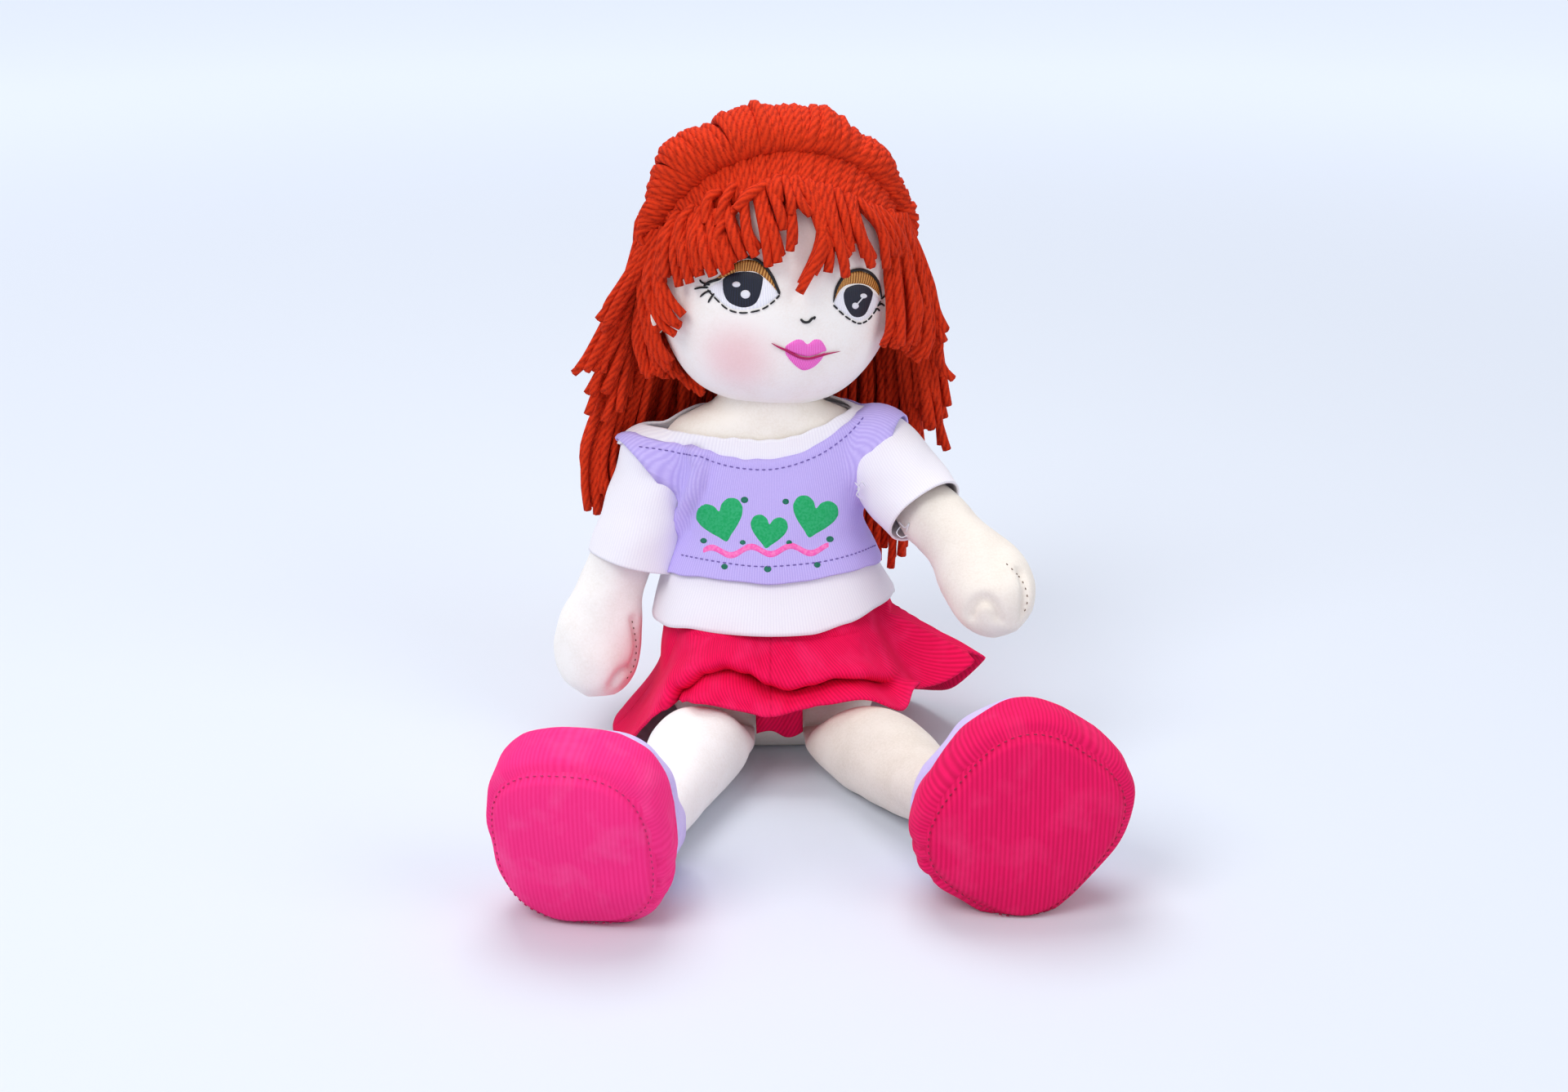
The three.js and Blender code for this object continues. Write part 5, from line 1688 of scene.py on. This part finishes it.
def on_head(swing, turn, lift):
    """A place over the head: swing to a side, turn from the brow over the top to the nape, and height off it."""
    a, b = math.radians(swing), math.radians(turn)
    ray = Vector((math.sin(a), -math.cos(a) * math.cos(b), math.cos(a) * math.sin(b)))
    half = Vector((HEAD_WIDE / 2 + lift, HEAD_DEEP / 2 + lift, HEAD_TALL / 2 + lift))
    start = HAIR_CENTRE - HEAD_SHIFT - Vector((0, 0, HEAD_TALL / 2))
    s = Vector((start.x / half.x, start.y / half.y, start.z / half.z))
    d = Vector((ray.x / half.x, ray.y / half.y, ray.z / half.z))
    t = (-s.dot(d) + math.sqrt(s.dot(d) ** 2 - d.dot(d) * (s.dot(s) - 1))) / d.dot(d)
    return HEAD @ (HAIR_CENTRE + ray * t)


def strand(bm, path, radius=YARN, rings=14, sides=6, roll=0.0):
    """One yarn along a path of points: a tube whose UV map carries the twist of its plies."""
    spots = [along(path, k / rings) for k in range(rings + 1)]
    lengths = [0.0]
    for a, b in zip(spots, spots[1:]):
        lengths.append(lengths[-1] + (b - a).length)
    across = []
    guide = Vector((0.3, 1, 0.2))
    for k in range(rings + 1):
        ahead = (spots[min(k + 1, rings)] - spots[max(k - 1, 0)]).normalized()
        guide = (guide - ahead * guide.dot(ahead)).normalized()
        across.append((guide.copy(), ahead.cross(guide)))

    def tube(u, v):
        k = min(int(round(v * (rings + 2))), rings + 2)
        ring = min(max(k - 1, 0), rings)
        thick = 0 if k in (0, rings + 2) else radius
        angle = 2 * math.pi * u
        a, b = across[ring]
        return spots[ring] + (a * math.cos(angle) + b * math.sin(angle)) * thick

    def slip(u, v):
        ring = min(max(int(round(v * (rings + 2))) - 1, 0), rings)
        return (PLIES * u - lengths[ring] / TWIST + roll, lengths[ring])

    lay_grid(bm, tube, sides, rings + 2, (1, 1), slip)


def yarn_piece(bm, name, finish, *nodes):
    piece = finish_piece(bm, name, finish)
    if nodes:
        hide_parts(*nodes)
    return piece


orange_yarn = acrylic_yarn("orange_acrylic_yarn", "#DC3610", "#9A1C06")


def jitter(amount):
    return random.uniform(-amount, amount)


print("each strand of yarn is", 2 * YARN, "mm thick with", PLIES, "plies")

# %% [markdown]
# ## The crown roll
#
# Long stitches of yarn are looped over a core and pushed up, so the roll overhangs the band at its front. The
# loops don't stand even: they bunch up in tufts, lean by turns to one side and the other, and are highest at the
# doll's right. Each loop is one strand along an arc over the roll, and an even row of smaller arcs is the core.

# %% Crown roll
ROLL_ARC = [
    (68, 1.2), (63, 2.6), (61.4, 5.6), (64, 9.4), (71, 12), (82, 12.6), (93, 10.8), (102, 6), (106, 1.5),
]
ROLL_SWELL = [0.72, 0.98, 1.35, 1.24, 1.0, 0.98, 0.94, 0.9, 0.86, 0.8, 0.66]
bm = bmesh.new()
loops, core = 70, 46
for k in range(loops):
    v = (k + 0.5 + jitter(0.25)) / loops
    swing = mix(-85, 85, v)
    lean = mix(-16, 9, ease(0.12, 0.5, v)) + 5 * math.sin(2 * math.pi * v * 6.1) + jitter(1.5)
    tuft = 1 + 0.12 * math.sin(2 * math.pi * (v * 5.3 + 0.15)) + jitter(0.08)
    swell = along([Vector((r, 0, 0)) for r in ROLL_SWELL], v).x * tuft
    path = []
    for j, (turn, high) in enumerate(ROLL_ARC):
        path.append(on_head(
            swing + lean * (j / 8 - 0.3), 84 + (turn - 84) * mix(0.75, 1, min(swell, 1)),
            1.2 + (high - 1.2) * swell,
        ))
    strand(bm, path, YARN * (1.14 + jitter(0.12)), 14, 6, jitter(1))
for k in range(core):
    v = (k + 0.5) / core
    swing = mix(-80, 80, v)
    path = []
    for j in range(7):
        a = math.pi * j / 6
        path.append(on_head(swing + 4, 84 - 15 * math.cos(a), 2 + 6.5 * math.sin(a)))
    strand(bm, path, YARN, 8, 6, jitter(1))
roll = yarn_piece(bm, "crown_roll_loops", orange_yarn, "crown_roll")
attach(roll, "head")

# %% [markdown]
# ## The band
#
# Below the roll, yarn is laid side by side over the brow and sewn down along the hair line. The strands slant,
# because the yarn was wound round the head by hand.

# %% Band
BAND_LINE = 31
bm = bmesh.new()
count = 54
for k in range(count):
    v = (k + 0.5) / count
    swing = mix(-78, 78, v)
    slant = mix(-8, 10, ease(0.1, 0.55, v))
    path = []
    for turn in (66, 58, 50, 42, 35, BAND_LINE):
        sewn_down = 0.9 if turn == BAND_LINE else 0
        lift = 2.2 + 0.6 * math.sin(k * 2.1) - sewn_down
        path.append(on_head(swing + slant * (turn - 45) / 35, turn, lift))
    strand(bm, path, YARN, 9, 6, jitter(1))
band = yarn_piece(bm, "sewn_yarn_band", orange_yarn, "hair_band")
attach(band, "head")

# %% [markdown]
# ## The fringe
#
# The cut ends hang from the seam over the brow, each its own way. So each end that shows is a short row of
# pixels, from the seam to where it stops, laid on the face with a curve away from it. A second strand lies
# beneath each one, because the real fringe is two strands thick and no skin shows through it.

# %% Fringe
FRINGE = [
    [(797, 285), (792, 335), (797, 380), (812, 412)], [(810, 282), (808, 345), (822, 388), (836, 404)],
    [(802, 285), (792, 350), (800, 408), (814, 452)], [(820, 280), (817, 335), (829, 368), (840, 392)],
    [(806, 286), (800, 360), (810, 420), (822, 446)], [(815, 284), (811, 330), (813, 365), (820, 384)],
    [(830, 275), (825, 318), (822, 345)], [(834, 270), (830, 300), (828, 338)], [(840, 267), (837, 310), (841, 349)],
    [(845, 268), (848, 308), (854, 345)], [(852, 262), (856, 300), (864, 337)], [(860, 258), (870, 306), (879, 336)],
    [(838, 262), (826, 296), (820, 334)], [(855, 256), (845, 280), (846, 325)], [(862, 258), (860, 300), (867, 328)],
    [(885, 238), (873, 252), (871, 277)], [(900, 231), (890, 256), (884, 279)], [(902, 258), (886, 284), (882, 297)],
    [(872, 252), (879, 300), (893, 334)], [(880, 260), (892, 306), (897, 330)], [(890, 250), (902, 290), (912, 316)],
    [(940, 228), (917, 246), (904, 261)], [(912, 240), (916, 290), (926, 314)], [(925, 232), (936, 292), (941, 326)],
    [(931, 232), (945, 290), (951, 322)], [(940, 226), (952, 262), (958, 283)], [(950, 222), (950, 238), (953, 252)],
    [(958, 222), (965, 252), (966, 266)], [(963, 230), (966, 282), (965, 308)], [(968, 224), (976, 254), (988, 266)],
    [(971, 222), (988, 250), (1000, 288), (1012, 302)], [(990, 228), (1001, 268), (996, 310), (975, 356)],
    [(985, 226), (998, 262), (1002, 304), (990, 334)], [(1000, 230), (1008, 270), (1020, 312), (1027, 336)],
    [(996, 232), (1003, 280), (1009, 310), (1007, 332)], [(1010, 232), (1014, 272), (1022, 304), (1031, 311)],
    [(1020, 236), (1024, 268), (1033, 309)], [(1032, 242), (1036, 278), (1046, 302), (1057, 325)],
    [(1038, 244), (1040, 284), (1050, 314)], [(1045, 248), (1060, 277), (1080, 310)],
    [(1057, 254), (1066, 290), (1073, 327)], [(1062, 256), (1076, 288), (1088, 312)],
    [(1067, 258), (1084, 287), (1101, 328)], [(1080, 262), (1098, 292), (1107, 322)],
    [(1088, 266), (1102, 300), (1106, 338)], [(1095, 266), (1110, 292), (1115, 316)],
]
bm = bmesh.new()
for ends in FRINGE:
    for copy in (0, 1):
        inner = copy * 1.0
        points = []
        for n, (x, y) in enumerate(ends):
            t = n / (len(ends) - 1)
            drift = 4.5 * inner * (0.3 + t)
            away = 3.4 + (4.2 + jitter(1.2)) * math.sin(math.pi * min(t * 0.8, 1)) - 2.0 * inner
            points.append(on_face(x + drift - 2 * inner, y - 9 * inner * t, max(away, 2.1)))
        strand(bm, points, YARN * (1.1 + jitter(0.1)), 10, 6, jitter(1))
fringe = yarn_piece(bm, "fringe_ends", orange_yarn, "fringe")
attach(fringe, "head")

# %% [markdown]
# ## The hanging hair
#
# At both sides the yarn hangs in tufts, and a picture has no depth. So each tuft follows a few pixels that are
# each given a depth as well, from the front tufts by the cheek to the back ones on the shoulder. Its strands
# spread towards the tips and end ragged. This yarn lies against the body below the chin.

# %% Hanging hair
def behind_pixel(px, py, y):
    """The point on a pixel's line of sight at one depth, y in millimetres."""
    heading = sight(px, py)
    return EYE + heading * ((y - EYE.y) / heading.y)


def tuft(bm, points, count, wide, ragged, rings=16):
    """Strands side by side along a line of (px, py, depth) points; wide is their spread at the tips in mm."""
    line = [behind_pixel(*p) for p in points]
    for k in range(count):
        place = (k + 0.5) / count - 0.5
        lean = Vector((place * wide + jitter(1.0), jitter(wide * 0.3), jitter(1.5)))
        stop = 1 - abs(jitter(ragged))
        path = []
        for j in range(8):
            t = j / 7 * stop
            spread = lean * (0.35 + 0.65 * ease(0, 0.8, t))
            path.append(along(line, t) + spread + Vector((jitter(0.5), jitter(0.5), 0)))
        path[-1] += Vector((jitter(2.5), jitter(1.5), 0))
        strand(bm, path, YARN * (1 + jitter(0.07)), rings, 6, jitter(1))


RIGHT_TUFTS = [
    ([(805, 262, -4), (790, 310, -4), (762, 360, 0), (738, 402, 4)], 7, 8, 0.12),
    ([(802, 268, 4), (782, 330, 6), (746, 410, 10), (722, 456, 12)], 11, 11, 0.12),
    ([(800, 262, 10), (778, 340, 12), (754, 430, 14), (732, 482, 14)], 10, 11, 0.16),
    ([(800, 258, 16), (776, 350, 18), (756, 450, 18), (742, 522, 16)], 11, 15, 0.2),
    ([(800, 256, 24), (776, 370, 26), (750, 490, 24), (732, 560, 22), (737, 626, 22)], 15, 15, 0.22),
    ([(808, 262, 20), (800, 370, 26), (776, 480, 28), (752, 560, 30), (745, 610, 32)], 14, 18, 0.2),
    ([(812, 270, 30), (815, 400, 38), (800, 490, 42), (778, 560, 46), (765, 600, 50)], 14, 22, 0.2),
    ([(812, 280, 12), (806, 360, 14), (812, 430, 10), (828, 464, 6)], 7, 8, 0.15),
    ([(806, 280, 0), (794, 350, 2), (790, 420, 4), (800, 462, 4)], 8, 10, 0.2),
    ([(816, 300, 20), (822, 400, 22), (836, 450, 14), (856, 478, 8)], 5, 7, 0.15),
    ([(818, 300, 34), (830, 420, 40), (826, 500, 46), (810, 540, 52)], 12, 22, 0.2),
]
LEFT_TUFTS = [
    ([(1090, 262, 2), (1093, 330, -8), (1098, 380, -10), (1096, 428, -8)], 6, 7, 0.12),
    ([(1096, 262, 8), (1108, 330, 0), (1115, 385, -2), (1108, 432, -2)], 7, 8, 0.15),
    ([(1100, 262, 14), (1120, 330, 10), (1130, 400, 8), (1122, 440, 8)], 8, 9, 0.15),
    ([(1103, 262, 18), (1128, 330, 14), (1140, 380, 14), (1150, 430, 14)], 6, 8, 0.2),
    ([(1103, 262, 22), (1134, 340, 20), (1148, 400, 20), (1152, 440, 22), (1163, 462, 22)], 2, 4, 0.02),
    ([(1098, 262, 26), (1122, 350, 28), (1134, 430, 30), (1146, 520, 32)], 12, 12, 0.16),
    ([(1092, 262, 30), (1112, 370, 36), (1122, 460, 40), (1136, 548, 42)], 14, 16, 0.18),
    ([(1085, 262, 36), (1100, 380, 44), (1102, 470, 50), (1112, 540, 54)], 12, 18, 0.2),
]
for name, tufts in (("right", RIGHT_TUFTS), ("left", LEFT_TUFTS)):
    bm = bmesh.new()
    for points, count, wide, ragged in tufts:
        tuft(bm, points, count, wide, ragged)
    hair = yarn_piece(bm, f"{name}_side_yarn", orange_yarn, f"{name}_side_hair")
    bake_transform(hair)

# %% [markdown]
# ## The crown and the back
#
# Neither shows in the picture, so they are made as such dolls are: two layers of yarn from the roll down over the
# back of the head, and three layers of long hair that hang from there over the shoulders.

# %% Crown and back
bm = bmesh.new()
for layer in (0, 1):
    count = 44 - 6 * layer
    for k in range(count):
        v = (k + 0.5 + jitter(0.2)) / count
        swing = mix(-80, 80, v)
        path = [on_head(swing + jitter(0.8), turn, 2.4 + 2.6 * layer) for turn in (92, 110, 128, 146, 164, 182)]
        strand(bm, path, YARN, 12, 6, jitter(1))
cap = yarn_piece(bm, "crown_yarn", orange_yarn, "hair_cap")
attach(cap, "head")

bm = bmesh.new()
for layer in (0, 1, 2):
    count = 34
    for k in range(count):
        v = (k + 0.5 + jitter(0.3)) / count
        swing = mix(-76, 76, v)
        start = on_head(swing, 150, 3 + 2.5 * layer)
        over = on_head(swing, 176, 4 + 3 * layer)
        x = mix(-74, 72, v)
        floor_z = keyed([(0, 76), (35, 72), (90, 88), (180, 104)], mix(180, 0, v)) + jitter(8) + layer * 6
        y = 50 + 4 * layer - 10 * abs(2 * v - 1) ** 2
        path = [
            start, over, Vector((mix(over.x, x, 0.5), max(over.y, y) + 1, 206)), Vector((x, y + 3, 172)),
            Vector((x * 0.98, y + 1, 138)), Vector((x * 0.95 + jitter(3), y, floor_z)),
        ]
        strand(bm, path, YARN, 18, 6, jitter(1))
back = yarn_piece(bm, "back_yarn", orange_yarn, "back_hair")
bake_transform(back)

# %% [markdown]
# ## The print
#
# A print is a film of ink a few hundredths of a millimetre thick, pressed through a screen. Here each motif is a
# thin patch laid on the jersey, where the line of sight through its place in the picture meets the vest, so it
# follows every crease. The motifs are plain: green hearts, small dark dots and one pink wave.

# %% Print
MID_CHEST = (940, 630)


def on_vest(px, py, lift=0.0):
    """The place on the vest behind a pixel of the picture, lifted off the cloth."""
    heading = sight(px, py)
    place, normal, _, _ = vest_tree.ray_cast(EYE, heading)
    while place is None:
        px, py = mix(px, MID_CHEST[0], 0.02), mix(py, MID_CHEST[1], 0.02)
        heading = sight(px, py)
        place, normal, _, _ = vest_tree.ray_cast(EYE, heading)
    return place + normal * (lift if normal.dot(heading) < 0 else -lift)


def printed_ink(name, colour, worn):
    """Screen print ink, slightly uneven where the knit shows through it. The patches are about 1 mm."""
    finish, tree, shader = new_finish(name)
    place = add_node(tree, "TexCoord").outputs["Object"]
    patchy = add_node(tree, "TexNoise", {"Vector": place, "Scale": 1 / (1.2 * MM), "Detail": 3.0})
    amount = add_node(tree, "MapRange", {"Value": patchy.outputs["Fac"], "From Min": 0.35, "From Max": 0.6})
    tint = add_node(tree, "Mix", {0: amount.outputs[0], 6: linear(worn), 7: linear(colour)}, data_type="RGBA")
    tree.links.new(tint.outputs[2], shader.inputs["Base Color"])
    shader.inputs["Roughness"].default_value = 0.6
    shader.inputs["Specular IOR Level"].default_value = 0.3
    return finish


HEART_TOP = [
    (-1, -0.3), (-0.86, -0.7), (-0.5, -0.86), (-0.17, -0.7), (0, -0.42), (0.17, -0.7), (0.5, -0.86), (0.86, -0.7),
    (1, -0.3),
]
HEART_LOW = [
    (-1, -0.3), (-0.88, 0.06), (-0.6, 0.44), (-0.28, 0.75), (0, 1), (0.28, 0.75), (0.6, 0.44), (0.88, 0.06),
    (1, -0.3),
]


def placed(outline, x, y, size, degrees):
    a = math.radians(degrees)
    return [
        (x + size * (p * math.cos(a) - q * math.sin(a)), y + size * (p * math.sin(a) + q * math.cos(a)))
        for p, q in outline
    ]


def print_patch(bm, lower, upper, columns, rows, height=1.3):
    satin_patch(bm, lower, upper, columns, rows, height, 0.85, on_vest)


def printed(name, bm, finish):
    piece = finish_piece(bm, name, finish, outward=True)
    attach(piece, "torso")
    return piece


bm = bmesh.new()
for x, y, size, lean in ((884, 636, 29, -14), (941, 650, 23, 8), (996, 632, 28, 13)):
    print_patch(bm, placed(HEART_LOW, x, y, size, lean), placed(HEART_TOP, x, y, size, lean), 32, 14)
printed("green_hearts", bm, printed_ink("green_print_ink", "#12A860", "#2FB274"))

bm = bmesh.new()
for x, y, size in (
    (912, 612, 4.5), (962, 614, 4), (863, 662, 4), (1015, 660, 4.5), (888, 694, 4), (940, 697, 4.5), (1000, 692, 4),
    (966, 664, 3.5), (910, 664, 3.5),
):
    ring = [(x - size * math.cos(k * math.pi / 8), y + size * math.sin(k * math.pi / 8)) for k in range(9)]
    print_patch(bm, ring, [(a, 2 * y - b) for a, b in ring], 10, 6)
printed("dark_green_dots", bm, printed_ink("dark_green_print_ink", "#0E6B4F", "#2C7A66"))

WAVE = [(860 + 4 * k, 676 - 5 * math.sin(k * math.pi / 6) - 0.1 * k) for k in range(40)]
bm = bmesh.new()
print_patch(bm, [(x, y + 4.4) for x, y in WAVE], [(x, y - 4.4) for x, y in WAVE], 110, 5, 1.5)
printed("pink_wave", bm, printed_ink("pink_print_ink", "#FF5FB8", "#FF86C8"))

# %% [markdown]
# ## Stitching
#
# The vest's edges are turned under and held by running stitches in a darker lavender. A brown seam closes each
# mitten hand, and a few ends of white thread are left where sleeve and arm were sewn on. They show that the doll
# was sewn by hand. Each line of stitches is laid on its cloth, stitch by stitch, as one thread.

# %% Stitches on the vest
VEST_NECK_STITCH = [
    (783, 548), (815, 552), (850, 558), (900, 572), (950, 574), (1000, 558), (1040, 530), (1060, 510),
]
VEST_HEM_STITCH = [(836, 680), (880, 688), (934, 694), (1000, 689), (1040, 680), (1072, 668)]
lavender_thread = rayon_thread("lavender_sewing_thread", "#8E7AC6", "#6F5CA8")
bm = bmesh.new()
for line in (VEST_NECK_STITCH, VEST_HEM_STITCH):
    spots = [pixel_line(line, k / 40) for k in range(41)]
    stitch_along(bm, [on_vest(p.x, p.y, 1.15) for p in spots], 0.34, 2.0, 1.1)
printed("vest_stitches", bm, lavender_thread)

# %% Hand seams and loose threads
brown_thread = rayon_thread("brown_sewing_thread", "#8A6A52", "#5E4636")
for name, side, pixels in (
    ("right", -1, [(774, 760), (779, 790), (776, 815), (764, 836)]),
    ("left", 1, [(1232, 690), (1252, 712), (1258, 735), (1252, 754)]),
):
    bm = bmesh.new()
    spots = []
    for k in range(25):
        p = pixel_line(pixels, k / 24)
        place, normal, _, _ = arm_trees[side].ray_cast(EYE, sight(p.x, p.y))
        if place is None:
            place, normal, _, _ = arm_trees[side].find_nearest(behind_pixel(p.x, p.y, SHOULDER[side].y - 40))
        spots.append(place + normal * 0.15)
    stitch_along(bm, spots, 0.25, 1.2, 2.2)
    seam = finish_piece(bm, f"{name}_hand_stitches", brown_thread, outward=True)
    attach(seam, f"{name}_arm")

LOOSE_THREADS = {
    "left_arm": [
        [(1100, 638, -27), (1108, 646, -29), (1113, 641, -30), (1109, 652, -30)],
        [(1104, 643, -27), (1098, 652, -29), (1104, 658, -30), (1112, 655, -30)],
    ],
    "torso": [
        [(1046, 590, -16), (1052, 598, -22), (1049, 606, -22), (1056, 612, -20)],
        [(1049, 600, -16), (1055, 590, -22), (1060, 596, -20)],
    ],
}
for body, threads in LOOSE_THREADS.items():
    bm = bmesh.new()
    for points in threads:
        thread_line(bm, [behind_pixel(*p) for p in points], 0.3, rings=14, taper=(0.8, 0.5))
    loose = finish_piece(bm, f"loose_threads_{body}", white_thread, outward=True)
    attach(loose, body)
